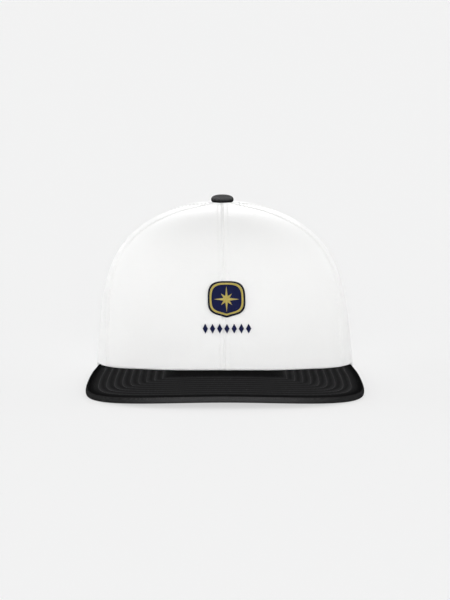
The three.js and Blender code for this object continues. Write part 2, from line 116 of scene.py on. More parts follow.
# Quads between neighbours of a grid of vertex numbers, with columns to the right and rows up.
def gridQuads(index):
    corners = [index[:-1, :-1], index[1:, :-1], index[1:, 1:], index[:-1, 1:]]
    return np.stack(corners, axis=-1).reshape(-1, 4)


# The same with the last column joined to the first.
def loopQuads(index):
    return gridQuads(np.vstack([index, index[:1]]))


# The same with the last row joined to the first.
def sectionQuads(index):
    return gridQuads(np.hstack([index, index[:, :1]]))


# Triangles from each step of a ring of vertex numbers to one tip.
def fan(ring, tip):
    return together(ring, np.roll(ring, -1), tip)


# Rings, columns by rows, closed by a fan to a point over the last row and by a face under the first.
def capped(ring, point):
    index = gridIndex(*ring.shape[:2])
    faces = [loopQuads(index), fan(index[:, -1], index.size), index[::-1, 0][None]]
    return np.vstack([ring.reshape(-1, 3), point]), faces


# Copies of a turned body, each at its centre in its own three axes. The body's own points are rings,
# columns by rows, and its two ends.
def turnedCopies(ring, ends, centres, axes):
    index = gridIndex(*ring.shape[:2])
    local = np.vstack([ring.reshape(-1, 3), ends])
    points = centres[:, None] + sum(local[:, k, None] * axes[k][:, None] for k in range(3))
    blocks = [loopQuads(index), fan(index[::-1, 0], index.size), fan(index[:, -1], index.size + 1)]
    shift = (np.arange(len(centres)) * len(local))[:, None, None]
    return points.reshape(-1, 3), [(block + shift).reshape(-1, block.shape[1]) for block in blocks]


# A closed wall between two grids of points, the first one outside. Its border goes from one to the
# other on a half ellipse: middle + half * cos(phi) + outward * roundness * |half| * sin(phi), with
# a roundness for the lower, right, upper and left side.
def shell(outer, inner, roundness):
    columns, rows = outer.shape[:2]
    index = gridIndex(columns, rows)
    border = np.concatenate([index[:-1, 0], index[-1, :-1], index[:0:-1, -1], index[0, :0:-1]])
    sides = np.repeat(roundness, [columns - 1, rows - 1, columns - 1, rows - 1])
    outerFlat, innerFlat = outer.reshape(-1, 3), inner.reshape(-1, 3)
    first, last = outerFlat[border], innerFlat[border]
    half = (first - last) / 2
    along = np.roll(first, -1, axis=0) - np.roll(first, 1, axis=0)
    outward = unit(np.cross(along, half)) * np.linalg.norm(half, axis=1, keepdims=True) * sides[:, None]
    turns = halfTurn * np.arange(1, rimRings + 1)[:, None, None] / (rimRings + 1)
    bands = (first + last) / 2 + np.cos(turns) * half + np.sin(turns) * outward
    steps = np.vstack([border, 2 * index.size + gridIndex(rimRings, len(border)), border + index.size])
    faces = [gridQuads(index), gridQuads(index + index.size)[:, ::-1], sectionQuads(steps)]
    source = np.concatenate([index.ravel(), index.ravel(), np.tile(border, rimRings)])
    return np.vstack([outerFlat, innerFlat, bands.reshape(-1, 3)]), faces, source


def addObject(name, data):
    made = bpy.data.objects.new(name, data)
    bpy.context.scene.collection.objects.link(made)
    return made


# A piece in place from its points and blocks of faces, smooth up to a sharp angle in degrees, with
# a cloth map in millimetres and each point's share of painted light, where given. It can stand for a node.
def makePiece(name, points, faces, finish, cloth=None, paintedLightShare=None, node=None, sharp=50, weld=False):
    mesh = bpy.data.meshes.new(name)
    place = (points.reshape(-1, 3) + (0, axisY, 0)) * 0.001
    place[:, 0] -= crownLean * place[:, 2]
    mesh.from_pydata(place.tolist(), [], [face for block in faces for face in block.tolist()])
    if cloth is not None:
        corners = np.empty(len(mesh.loops), dtype=np.int32)
        mesh.loops.foreach_get("vertex_index", corners)
        layer = mesh.uv_layers.new(name="clothMap")
        layer.data.foreach_set("uv", cloth.astype(np.float32).reshape(-1, 2)[corners].ravel())
    if paintedLightShare is not None:
        attribute = mesh.attributes.new("paintedLightShare", "FLOAT", "POINT")
        attribute.data.foreach_set("value", paintedLightShare.astype(np.float32).ravel())
    if weld:
        work = bmesh.new()
        work.from_mesh(mesh)
        bmesh.ops.remove_doubles(work, verts=work.verts, dist=2e-6)
        work.to_mesh(mesh)
        work.free()
    mesh.shade_smooth()
    mesh.set_sharp_from_angle(angle=math.radians(sharp))
    mesh.update()
    mesh.materials.append(materials[finish])
    piece = addObject(name, mesh)
    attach(piece, "root")
    if node:
        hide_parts(node)
    return piece


# A node's cloth as a closed wall, mapped as its outer grid is and given its outer grid's painted light.
def clothWall(node, outer, inner, roundness, finish, cloth, paintedLightShare=None):
    points, faces, source = shell(outer, inner, roundness)
    light = None if paintedLightShare is None else paintedLightShare.ravel()[source]
    makePiece(f"{node}_cloth", points, faces, finish, cloth.reshape(-1, 2)[source], light, node)


stitch = {"stations": (-0.86, -0.45, 0, 0.45, 0.86), "sides": 6, "rise": 0.16, "sink": 0.06}


# Rows of stitches as one piece. Each stitch is a short capsule along its own direction: at a share t
# of its half length it is lifted by rise * (1 - t^2) - sink and as thick as radius * sqrt(1 - t^4).
def stitchPiece(name, rows, look, finish):
    centres, tangents, normals = [np.concatenate(parts) for parts in zip(*rows)]
    stations, half, sink = np.array(stitch["stations"]), look["stitchLength"] / 2, stitch["sink"]
    thick = look["stitchRadius"] * (1 - stations**4) ** 0.5
    lift = stitch["rise"] * (1 - stations**2) - sink
    angle = anglesOf(stitch["sides"])
    ring = together(np.cos(angle) * thick, np.sin(angle) * thick + lift, stations * half)
    axes = (unit(np.cross(normals, tangents)), normals, tangents)
    points, faces = turnedCopies(ring, [(0, -sink, -half), (0, -sink, half)], centres, axes)
    makePiece(name, points, faces, finish, sharp=180)


# Evenly spaced middles of stitches along a path of points, with the path's direction and the
# surface's normal there, all read off the path by its length.
def spacedAlong(path, normals, pitch):
    length = lengthAlong(path)
    count = max(int(length[-1] / pitch), 1)
    at = (np.arange(count) + 0.5) * length[-1] / count
    tangents = unit(np.gradient(path, axis=0))
    return readAt(at, length, path), unit(readAt(at, length, tangents)), unit(readAt(at, length, normals))


# The crown's surface

crown = {
    "halfWidth": 88.2,
    "reach": 98,  # from the button's axis to the rim, in front and behind
    "height": 111.5,
    "taper": 0.135,  # share of its width that it loses from the rim to the top
    "planSquareness": 2.35,
    "frontPowers": (3.1, 3.3),  # the profile's exponents, outward and upward
    "sidePowers": (1.8, 4.95),
    "backPowers": (3.0, 3.1),
    "rimStraight": 0.5,
    "eyeRadius": 3,
    "wall": 1.8,
    "rowsUp": 132,
    "turnLength": 93,  # about the millimetres of rim to one radian round it
    "riseLength": 105,  # about the millimetres of cloth to one radian of rise
}

# Each seam's angle from the front centre line, in degrees, at the rim and at the button, and its bow
seams = {
    "front": (0, 0, 0), "sideFront": (58.5, 62, 11.5), "sideBack": (122, 120, 0), "back": (180, 180, 0),
}

# The seams that a pair of panels lies between, and how far its cloth puffs out
panels = {
    "front": {"from": "front", "to": "sideFront", "puff": 0.5},
    "side": {"from": "sideFront", "to": "sideBack", "puff": 0.8},
    "back": {"from": "sideBack", "to": "back", "puff": 0.8},
}

sewing = {
    "valleyDepth": 0.55,
    "valleyWidth": 0.75,
    "weltHeight": 0.15,
    "weltMiddle": 1.8,
    "weltWidth": 0.95,
    "rowInset": 3.3,  # from a seam to the row of stitches beside it
    "channelDepth": 0.1,
    "channelWidth": 0.5,
    "puckerHeight": 0.05,
    "puckerPitch": 7.5,
    "puckerWidth": 2.4,
    "gatherHeight": 1.5,  # how far the cloth is bunched up round the button's foot
    "stitchPitch": 3.1,
    "stitchLength": 2.5,
    "stitchRadius": 0.2,
}


# Radius of the crown's plan at an angle from the front centre line.
def planRadius(azimuth):
    return superellipse(azimuth, crown["halfWidth"], crown["reach"], crown["planSquareness"])


# The profile's two exponents at an angle, mixed by the square of its cosine.
def profileAt(azimuth):
    share, isFront = np.cos(azimuth) ** 2, np.cos(azimuth) >= 0
    powers = zip(crown["frontPowers"], crown["sidePowers"], crown["backPowers"])
    return [mix(side, np.where(isFront, front, back), share) for front, side, back in powers]


# Distance from the axis and height, at an angle round the crown and a rise, which is a polar angle.
# The profile out^a + up^b = 1 is met by nine Newton passes on the size of (out, up), and then
# reach = radius * out * (1 - taper * up).
def reachAndHeight(azimuth, rise):
    outPower, upPower = profileAt(azimuth)
    cosine, sine = np.maximum(np.cos(rise), 1e-9), np.maximum(np.sin(rise), 0)
    size = np.ones(np.broadcast(azimuth, rise).shape)
    for _ in range(9):
        out, up = (size * cosine) ** outPower, (size * sine) ** upPower
        size = size - size * (out + up - 1) / (outPower * out + upPower * up)
    up = size * sine
    return planRadius(azimuth) * size * cosine * (1 - crown["taper"] * up), crown["height"] * up


def reachAt(azimuth, rise):
    return reachAndHeight(azimuth, rise)[0]


# The rise at which the crown has a given height: the angle of (out, up), with out from the profile.
def riseAtHeight(azimuth, height):
    outPower, upPower = profileAt(azimuth)
    up = np.maximum(height, 0) / crown["height"]
    return np.arctan2(up, (1 - up**upPower) ** (1 / outPower))


# The same for a given reach near the top, where the taper is complete.
def riseAtReach(azimuth, reach):
    outPower, upPower = profileAt(azimuth)
    out = reach / (planRadius(azimuth) * (1 - crown["taper"]))
    return np.arctan2((1 - out**outPower) ** (1 / upPower), out)


# The smooth crown: (reach * sin, -reach * cos, height) for an angle round it and a rise up it.
def smoothPoint(azimuth, rise):
    reach, height = reachAndHeight(azimuth, rise)
    return together(reach * np.sin(azimuth), -reach * np.cos(azimuth), height)


# Outward normal: the step round the crown crossed with the step up it.
def crownNormal(azimuth, rise):
    step = 0.002
    around = smoothPoint(azimuth + step, rise) - smoothPoint(azimuth - step, rise)
    lower, upper = np.maximum(rise - step, 0), np.minimum(rise + step, quarterTurn)
    return unit(np.cross(around, smoothPoint(azimuth, upper) - smoothPoint(azimuth, lower)))


# A seam's angle at a rise: straight from rim to top, plus bow * sin(2 * rise)^3.
def seamAngle(name, rise):
    rim, top, bow = seams[name]
    return np.radians(mix(rim, top, rise / quarterTurn) + bow * np.sin(2 * rise) ** 3)


# How far the cloth stands out between two seams: puff * sqrt(sin(pi * across) * sin(2 * rise)).
def puffAt(azimuth, rise):
    turn = np.abs(np.arctan2(np.sin(azimuth), np.cos(azimuth)))
    total = np.zeros(np.broadcast(azimuth, rise).shape)
    for panel in panels.values():
        start, end = seamAngle(panel["from"], rise), seamAngle(panel["to"], rise)
        across = np.clip((turn - start) / (end - start), 0, 1)
        swell = np.maximum(np.sin(halfTurn * across), 0) * np.maximum(np.sin(2 * rise), 0)
        total = total + np.where((turn >= start) & (turn <= end), panel["puff"] * np.sqrt(swell), 0)
    return total


# The crown's outside moved inwards by a depth, which turns level towards the rim.
def crownPoint(azimuth, rise, depth=0.0, relief=0.0):
    direction = crownNormal(azimuth, rise)
    direction[..., 2] = direction[..., 2] * np.minimum(rise / crown["rimStraight"], 1)
    offset = puffAt(azimuth, rise) + relief - depth
    return smoothPoint(azimuth, rise) + direction * np.expand_dims(offset, -1)


# The angle and rise at which the front or back wall has a given x at a given height, by eight passes.
def wallAt(x, height, back=False):
    azimuth = np.full(np.broadcast(x, height).shape, halfTurn if back else 0.0)
    for _ in range(8):
        turn = np.arcsin(x / reachAt(azimuth, riseAtHeight(azimuth, height)))
        azimuth = halfTurn - turn if back else turn
    return azimuth, riseAtHeight(azimuth, height)


# The groove under a row of stitches, at a distance from it.
def channelAt(look, distance):
    return -look["channelDepth"] * bell(distance, 0, look["channelWidth"])


# What sewing adds at a distance from a seam: a valley on the seam, a soft welt over the folded
# edges, a channel under the row of stitches and slight puckers along it, each of them a bell.
def seamRelief(distance, upwards, reach):
    valley = -sewing["valleyDepth"] * bell(distance, 0, sewing["valleyWidth"])
    welt = sewing["weltHeight"] * bell(distance, sewing["weltMiddle"], sewing["weltWidth"])
    channel = channelAt(sewing, distance - sewing["rowInset"])
    phase = upwards / sewing["puckerPitch"]
    wave = sewing["puckerHeight"] * np.sin(fullTurn * phase) * np.sin(1.7 * phase)
    pucker = wave * bell(distance, sewing["rowInset"], sewing["puckerWidth"])
    gathered = sewing["gatherHeight"] * bell(reach, 5, 6)
    return (valley + welt + channel + pucker) * smoothStep(reach, 5, 20) + gathered


# The peak's surface

peak = {
    "reach": 68,  # past the front rim, on the centre line
    "flare": 3.8,  # how much wider each side is than the crown
    "flareEase": 1.4,
    "cornerDepth": 61,
    "cornerSquareness": 3,
    "frontShare": 0.58,
    "tipAngle": 72.5,
    "tipMargin": 1,
    "tipFade": 12,
    "tipRoom": 6,  # the edge's insets shrink where there is less room than this beside the crown
    "tipDip": 1.2,  # how much thinner it is beside the crown, towards its tips
    "tipDipFrom": 52,
    "tipDipWidth": 12,
    "rearLift": 8.2,
    "frontLift": 3.1,
    "bendOrigin": 65,
    "thickness": 3.8,
    "hiddenPly": 1.75,  # where the two cloths meet inside it, from its under and its upper face
    "edgeRound": 1.5,
    "seamInset": 2.3,  # from the edge to the groove where the two cloths meet
    "rollInset": 0.55,  # from that groove to the upper cloth's own edge
    "rollDepth": 0.35,
    "rollWidth": 0.9,
    "rowStart": 8.4,  # from the edge to the first row of stitches
    "rowPitch": 5.2,
    "rowCount": 9,
    "channelDepth": 0.45,
    "channelWidth": 0.8,
    "quiltHeight": 0.42,
    "reliefEase": (0.3, 6),  # from the crown, where the relief starts and where it is full
    "paintedSheenTone": 0.3,  # painted sheen: how light the cloth is painted between the rows, of its tone beside them
    "paintedCrownShade": 0.3,  # painted shade: share of that kept on the plain cloth next to the crown
    "paintedSheenWidth": 1.4,
    "edgePaintedLight": 0.8,  # painted light: how light the cloth round the front edge is painted, fading towards the corners
    "edgeFade": (30, 76),
    "columns": 330,
    "rows": 112,
    "underColumns": 300,
    "soleRows": 39,
    "backRows": 9,
    "stitchPitch": 2.9,
    "stitchLength": 2.35,
    "stitchRadius": 0.21,
}

tipAzimuth = math.radians(peak["tipAngle"])
rimTip = smoothPoint(np.array(tipAzimuth), np.array(0.0))


# The peak's outer edge in plan, tip to tip: a superellipse round the front and an easy curve to
# each tip, read evenly by length.
def peakEdgeAt(share):
    t = np.linspace(-1, 1, 4001)
    side, along = np.sign(t), np.abs(t)
    halfWidth = rimTip[0] + peak["flare"]
    wideLine = peak["cornerDepth"] - crown["reach"] - peak["reach"]
    turn = np.minimum(along / peak["frontShare"], 1) * quarterTurn
    behind = np.maximum((along - peak["frontShare"]) / (1 - peak["frontShare"]), 0)
    isFront = along < peak["frontShare"]
    cosine, sine = squared(turn, peak["cornerSquareness"])
    x = side * np.where(isFront, halfWidth * sine, mix(halfWidth, rimTip[0], behind ** peak["flareEase"]))
    frontY = wideLine - peak["cornerDepth"] * cosine
    path = together(x, np.where(isFront, frontY, mix(wideLine, rimTip[1], behind)))
    length = lengthAlong(path)
    return readAt(np.asarray(share) * length[-1], length, path)


# Height of the under face on the centre line, straight from the crown to the front.
def centreLift(y):
    return mix(peak["rearLift"], peak["frontLift"], (-y - crown["reach"]) / peak["reach"])


# The bend with which no point of the edge lies below the floor
edgeX, edgeY = peakEdgeAt(np.linspace(0, 1, 29)).T
peakBend = np.min(centreLift(edgeY) * (peak["bendOrigin"] - edgeY) / np.maximum(edgeX**2, 1e-6))


# Height of the peak's under face: a shallow cone, lift(y) - bend * x^2 / (origin - y).
def soleHeight(x, y):
    return centreLift(y) - peakBend * x**2 / (peak["bendOrigin"] - y)


# Distance in plan from the crown's rim, outwards.
def fromRim(x, y):
    return np.hypot(x, y) - planRadius(np.arctan2(x, -y))


# How much the peak thins at points in plan: more towards its tips, less away from the crown.
def thinning(x, y):
    near = bell(np.maximum(fromRim(x, y), 0), 0, peak["tipDipWidth"])
    return peak["tipDip"] * smoothStep(np.abs(x), peak["tipDipFrom"], rimTip[0]) * near


# One in front, where the crown stands on the peak, and nought behind the peak's tips.
def tipShare(azimuth):
    start = math.radians(peak["tipAngle"] + peak["tipMargin"])
    return 1 - smoothStep(np.abs(azimuth) - start, 0, math.radians(peak["tipFade"]))


# The rim in plan, x and y, at a depth inside the crown's wall.
def rimPlan(azimuth, depth):
    point = crownPoint(azimuth, np.zeros_like(azimuth), depth)
    return point[..., 0], point[..., 1]


# Lower edge of the sweatband: on the peak's under face in front, on z = 0 behind it.
def footHeight(azimuth):
    turn = np.minimum(np.abs(azimuth), tipAzimuth)
    return tipShare(azimuth) * soleHeight(*rimPlan(turn, crown["wall"]))


# Lower edge of the crown: just over the peak's upper face in front, on z = 0 behind it.
def rimHeight(azimuth):
    turn = np.minimum(np.abs(azimuth), tipAzimuth)
    outer = rimPlan(turn, 0.0)
    sole = np.maximum(soleHeight(*outer), soleHeight(*rimPlan(turn, crown["wall"])))
    return tipShare(azimuth) * (sole + peak["thickness"] - thinning(*outer) + 0.1)


# Half-moon opening

arch = {
    "halfWidth": 49,
    "height": 57,
    "squareness": 2.3,
    "rowInsets": (2.2, 7.4),  # from the edge to each row of stitches
    "channelDepth": 0.22,
    "channelWidth": 0.6,
    "tapeWidth": 8,
    "tapeWall": 0.9,
    "tapeFoot": 19.5,  # height of the tape's ends, just over the straps
}


# The half-moon's edge, with an even margin: (a * cos^p, b * sin^p) with p = 2 / squareness.
def archPoint(share, margin):
    cosine, sine = squared(share * quarterTurn, arch["squareness"])
    return (arch["halfWidth"] + margin) * cosine, (arch["height"] + margin) * sine


# The share of the half-moon's edge at which it has a given height, for a given full height.
def archShare(height, full):
    return math.asin((height / full) ** (arch["squareness"] / 2)) / quarterTurn


# Distance outside the half-moon's edge: (size - 1) over the size's slope, where the size is
# ((x / a)^n + (h / b)^n)^(1 / n).
def archDistance(x, height):
    power = arch["squareness"]
    across, upward = np.abs(x) / arch["halfWidth"], np.maximum(height, 0) / arch["height"]
    size = np.maximum((across**power + upward**power) ** (1 / power), 1e-6)
    acrossSlope = (across / size) ** (power - 1) / arch["halfWidth"]
    return (size - 1) / np.hypot(acrossSlope, (upward / size) ** (power - 1) / arch["height"])


# Shader node groups and materials

materials = {}


# Put values and links into a node's own sockets.
def setInputs(node, inputs):
    for key, value in inputs.items():
        if isinstance(value, bpy.types.NodeSocket):
            node.id_data.links.new(value, node.inputs[key])
        else:
            node.inputs[key].default_value = value


def addNode(tree, kind, inputs=None, **settings):
    made = tree.nodes.new(kind)
    for key, value in settings.items():
        setattr(made, key, value)
    setInputs(made, inputs or {})
    return made


# One sum of sockets and numbers, in the tree of whichever value is a socket.
def calculate(operation, *values):
    tree = next(value.id_data for value in values if isinstance(value, bpy.types.NodeSocket))
    return addNode(tree, "ShaderNodeMath", dict(enumerate(values)), operation=operation).outputs[0]


# Two colours mixed by a share. The first can be a socket.
def blend(share, first, second):
    first = first if isinstance(first, bpy.types.NodeSocket) else (*first, 1)
    inputs = {0: share, 6: first, 7: (*second, 1)}
    return addNode(share.id_data, "ShaderNodeMix", inputs, data_type="RGBA").outputs[2]


def noiseAt(where, scale, detail):
    inputs = {"Vector": where, "Scale": scale, "Detail": detail}
    return addNode(where.id_data, "ShaderNodeTexNoise", inputs).outputs["Fac"]


def separate(vector):
    return addNode(vector.id_data, "ShaderNodeSeparateXYZ", {0: vector}).outputs


def newGroup(name, inputs, outputs):
    tree = bpy.data.node_groups.new(name, "ShaderNodeTree")
    for title, value in inputs.items():
        kind = "NodeSocketVector" if value is None else "NodeSocketFloat"
        socket = tree.interface.new_socket(title, in_out="INPUT", socket_type=kind)
        if value is not None:
            socket.default_value = value
    for title in outputs:
        tree.interface.new_socket(title, in_out="OUTPUT", socket_type="NodeSocketFloat")
    return tree, addNode(tree, "NodeGroupInput").outputs, addNode(tree, "NodeGroupOutput")


# Twill: slanted ridges sin(2 pi (x + 1.7 y) / pitch), broken by the threads that cross them, with
# slow noise that makes some threads thicker.
def makeTwillGroup():
    inputs = {"Cloth Map": None, "Pitch": 1.0, "Slub": 0.3}
    tree, given, result = newGroup("twillWeave", inputs, ("Height", "Shade"))
    parts = separate(given["Cloth Map"])
    slant = calculate("MULTIPLY_ADD", parts["Y"], 1.7, parts["X"])
    cross = calculate("MULTIPLY_ADD", parts["X"], -0.55, parts["Y"])
    turns = calculate("DIVIDE", fullTurn, given["Pitch"])
    ridge = calculate("SINE", calculate("MULTIPLY", slant, turns))
    thread = calculate("SINE", calculate("MULTIPLY", cross, calculate("MULTIPLY", turns, 1.6)))
    noise = noiseAt(given["Cloth Map"], 0.9, 2.0)
    slub = calculate("MULTIPLY", calculate("SUBTRACT", noise, 0.5), given["Slub"])
    woven = calculate("MULTIPLY_ADD", ridge, 0.32, calculate("MULTIPLY_ADD", thread, 0.18, 0.5))
    height = calculate("ADD", woven, slub)
    setInputs(result, {"Height": height, "Shade": calculate("SUBTRACT", 1.0, height)})
    return tree


# Thread lines: long ridges |sin(pi y / pitch)| along one direction of the map, with a slight wobble.
def makeThreadGroup():
    inputs = {"Cloth Map": None, "Pitch": 0.4, "Wobble": 0.1}
    tree, given, result = newGroup("threadLines", inputs, ("Height", "Shade"))
    noise = noiseAt(given["Cloth Map"], 0.8, 2.0)
    bent = calculate("MULTIPLY_ADD", noise, given["Wobble"], separate(given["Cloth Map"])["Y"])
    turns = calculate("DIVIDE", halfTurn, given["Pitch"])
    height = calculate("ABSOLUTE", calculate("SINE", calculate("MULTIPLY", bent, turns)))
    setInputs(result, {"Height": height, "Shade": calculate("SUBTRACT", 1.0, height)})
    return tree


# Use: broad soft patches from noise on the object's own coordinates, and fine lint where a second
# noise is near its top.
def makeUseGroup():
    inputs = {"Scale": 30.0, "Lint Scale": 900.0, "Lint Level": 0.7}
    tree, given, result = newGroup("softUse", inputs, ("Patches", "Lint"))
    where = addNode(tree, "ShaderNodeTexCoord").outputs["Object"]
    above = calculate("SUBTRACT", noiseAt(where, given["Lint Scale"], 1.0), given["Lint Level"])
    lint = addNode(tree, "ShaderNodeMath", {0: above, 1: 12.0}, operation="MULTIPLY", use_clamp=True)
    setInputs(result, {"Patches": noiseAt(where, given["Scale"], 3.0), "Lint": lint.outputs[0]})
    return tree


groups = {"twill": makeTwillGroup(), "threads": makeThreadGroup(), "use": makeUseGroup()}


def fromGroup(tree, name, inputs):
    return addNode(tree, "ShaderNodeGroup", inputs, node_tree=groups[name]).outputs


def newMaterial(name):
    material = bpy.data.materials.new(name)
    material.use_nodes = True
    materials[name] = material
    return material.node_tree, material.node_tree.nodes["Principled BSDF"]


# A woven or sewn finish: its colour goes from a lit to a shaded tone where the threads lie low and
# the soft patches are, and to the raised tone, a painted lit tone, by each point's share of painted light. A
# bump lifts the threads.
def clothMaterial(name, look):
    tree, shader = newMaterial(name)
    where = addNode(tree, "ShaderNodeUVMap", uv_map="clothMap").outputs["UV"]
    weave = fromGroup(tree, look["weave"], {"Cloth Map": where, "Pitch": look["pitch"]})
    use = fromGroup(tree, "use", {"Scale": look["patchScale"], "Lint Level": look["lintLevel"]})
    threads = calculate("MULTIPLY", weave["Shade"], look["threadShade"])
    patch = calculate("MULTIPLY_ADD", use["Patches"], look["patchShade"], threads)
    tone = blend(patch, look["lit"], look["shaded"])
    # The raised tone is painted light: painted sheen beside the peak's rows, a painted lit front edge and a
    # painted lit top of the button.
    if "raised" in look:
        paintedLightShare = addNode(tree, "ShaderNodeAttribute", attribute_name="paintedLightShare").outputs["Fac"]
        lifted = calculate("MULTIPLY_ADD", weave["Height"], 0.9, 0.5)
        tone = blend(calculate("MULTIPLY", paintedLightShare, lifted), tone, look["raised"])
    bump = {"Strength": look["bump"], "Distance": 0.0004, "Height": weave["Height"]}
    setInputs(shader, {
        "Base Color": blend(use["Lint"], tone, look["lint"]),
        "Roughness": calculate("MULTIPLY_ADD", weave["Height"], -look["roughSpread"], look["roughness"]),
        "Normal": addNode(tree, "ShaderNodeBump", bump).outputs[0],
        "Sheen Weight": look["sheen"],
        "Sheen Roughness": 0.35,
        "Specular IOR Level": look["specular"],
    })


clothMaterial("whiteTwill", {
    "weave": "twill", "pitch": 1.3, "lit": (0.9, 0.9, 0.895), "shaded": (0.78, 0.78, 0.775),
    "threadShade": 0.6, "patchShade": 0.12, "patchScale": 28, "lint": (0.9, 0.9, 0.9), "lintLevel": 0.74,
    "roughness": 0.95, "roughSpread": 0.08, "bump": 0.3, "sheen": 1.0, "specular": 0.1,
})
blackLook = {
    "weave": "twill", "pitch": 1.3, "lit": (0.009, 0.009, 0.0093), "shaded": (0.003, 0.003, 0.0032),
    "threadShade": 0.8, "patchShade": 0.25, "patchScale": 40, "lint": (0.05, 0.05, 0.05), "lintLevel": 0.7,
    "roughness": 1.0, "roughSpread": 0.1, "bump": 0.55, "sheen": 0.0, "specular": 0.0,
}
# Painted light: the edge's tones are a lighter copy of the black cloth, as if lit from the front, and its
# raised tone is painted light too.
edgeTones = {"lit": (0.03, 0.03, 0.0305), "shaded": (0.012, 0.012, 0.0122), "raised": (0.055, 0.055, 0.056)}
# The button's raised tone is painted light on its top.
buttonTones = {"lit": (0.02, 0.02, 0.0204), "shaded": (0.008, 0.008, 0.0083), "raised": (0.11, 0.11, 0.112)}
# The black cloth's raised tone is painted sheen beside the peak's rows.
clothMaterial("blackTwill", {**blackLook, "raised": (0.037, 0.037, 0.038)})
clothMaterial("edgeTwillPaintedLight", {**blackLook, **edgeTones})
clothMaterial("buttonTwill", {**blackLook, **buttonTones})
clothMaterial("whiteBand", {
    "weave": "threads", "pitch": 0.9, "lit": (0.86, 0.86, 0.845), "shaded": (0.7, 0.7, 0.685),
    "threadShade": 0.4, "patchShade": 0.2, "patchScale": 50, "lint": (0.9, 0.9, 0.88), "lintLevel": 0.72,
    "roughness": 0.96, "roughSpread": 0.06, "bump": 0.4, "sheen": 0.12, "specular": 0.2,
})
threadLook = {
    "weave": "threads", "pitch": 0.42, "threadShade": 0.9, "patchScale": 90, "lintLevel": 0.72, "bump": 0.7,
}
clothMaterial("navyThread", {
    **threadLook, "lit": (0.0095, 0.015, 0.085), "shaded": (0.003, 0.004, 0.022), "lint": (0.05, 0.06, 0.17),
    "patchShade": 0.1, "roughness": 0.62, "roughSpread": 0.2, "sheen": 0.0, "specular": 0.2,
})
clothMaterial("goldThread", {
    **threadLook, "lit": (0.8, 0.66, 0.17), "shaded": (0.3, 0.22, 0.04), "lint": (0.85, 0.65, 0.25),
    "patchShade": 0.15, "roughness": 0.5, "roughSpread": 0.15, "sheen": 0.05, "specular": 0.5,
})


# Sewing thread: near the cloth's own colour, a little glossier, with soft patches along it. The black thread
# is painted lighter than its cloth, as painted sheen.
def threadMaterial(name, light, dark, roughness):
    tree, shader = newMaterial(name)
    patches = fromGroup(tree, "use", {"Scale": 420})["Patches"]
    tone = blend(patches, dark, light)
    setInputs(shader, {"Base Color": tone, "Roughness": roughness, "Specular IOR Level": 0.35})


threadMaterial("whiteSewing", (0.92, 0.92, 0.91), (0.8, 0.8, 0.79), 0.7)
# Painted sheen: the black thread is much lighter than the black cloth.
threadMaterial("blackSewingPaintedSheen", (0.04, 0.04, 0.041), (0.02, 0.02, 0.0205), 0.75)
threadMaterial("darkRim", (0.006, 0.007, 0.016), (0.002, 0.002, 0.005), 0.8)


# Moulded plastic: near black with faint cloudy wear that dulls its gloss, and a fine moulded grain.
def plasticMaterial(name):
    tree, shader = newMaterial(name)
    use = fromGroup(tree, "use", {"Scale": 120, "Lint Scale": 1600, "Lint Level": 0.62})
    worn = calculate("MULTIPLY_ADD", use["Patches"], 0.25, 0.28)
    bump = {"Strength": 0.12, "Distance": 0.0001, "Height": use["Lint"]}
    setInputs(shader, {
        "Base Color": blend(use["Patches"], (0.007, 0.007, 0.008), (0.016, 0.016, 0.017)),
        "Roughness": calculate("MULTIPLY_ADD", use["Lint"], 0.1, worn),
        "Normal": addNode(tree, "ShaderNodeBump", bump).outputs[0],
    })


plasticMaterial("blackPlastic")
print("materials made:", len(materials))

# Camera, floor and light

camera = {"lens": 147.8, "distance": 1.7, "elevation": 8.0, "aimHeight": 0.045}
lens = bpy.data.cameras.new("camera")
lens.lens = camera["lens"]
lens.sensor_width = 36
lens.clip_end = 200
eye = addObject("camera", lens)
lookDown = math.radians(camera["elevation"])
backwards, upwards = camera["distance"] * math.cos(lookDown), camera["distance"] * math.sin(lookDown)
eye.location = (0, axisY / 1000 - backwards, camera["aimHeight"] + upwards)
eye.rotation_euler = (quarterTurn - lookDown, 0, 0)
bpy.context.scene.camera = eye

studio = {
    "paleTone": 0.888,  # radiance of the backdrop behind everything
    "zenith": 0.4,  # radiance overhead
    "horizon": 3.5,  # and more of it round the horizon, as a ring of soft boxes gives
    "bandWidth": 0.25,
    "floorTone": 0.36,  # share of the light that the floor scatters; the rest of its tone is even
    "floorSize": 60,
    "paintedShadowGlow": 0.12,  # painted shadow: share of that even tone kept on the floor under the cap
    # Middle, half width, half depth and power of each painted shadow on the floor under the cap
    "shades": [(0, 85, 95, 2.0), (-98, 78, 44, 4.0)],
    "lamps": [  # name, azimuth from the front, elevation, strength, spread in degrees
        ("rearLamp", 180, 55, 0.5, 35),
        ("frontLamp", 0, 12, 0.79, 30),
        ("leftLamp", -120, 5, 0.9, 30),
        ("rightLamp", 120, 5, 0.55, 30),
    ],
}
view = bpy.context.scene.view_settings
view.view_transform = "Standard"
view.look = "None"
world = bpy.data.worlds.new("studio")
bpy.context.scene.world = world
world.use_nodes = True
sky = world.node_tree
sky.nodes.clear()
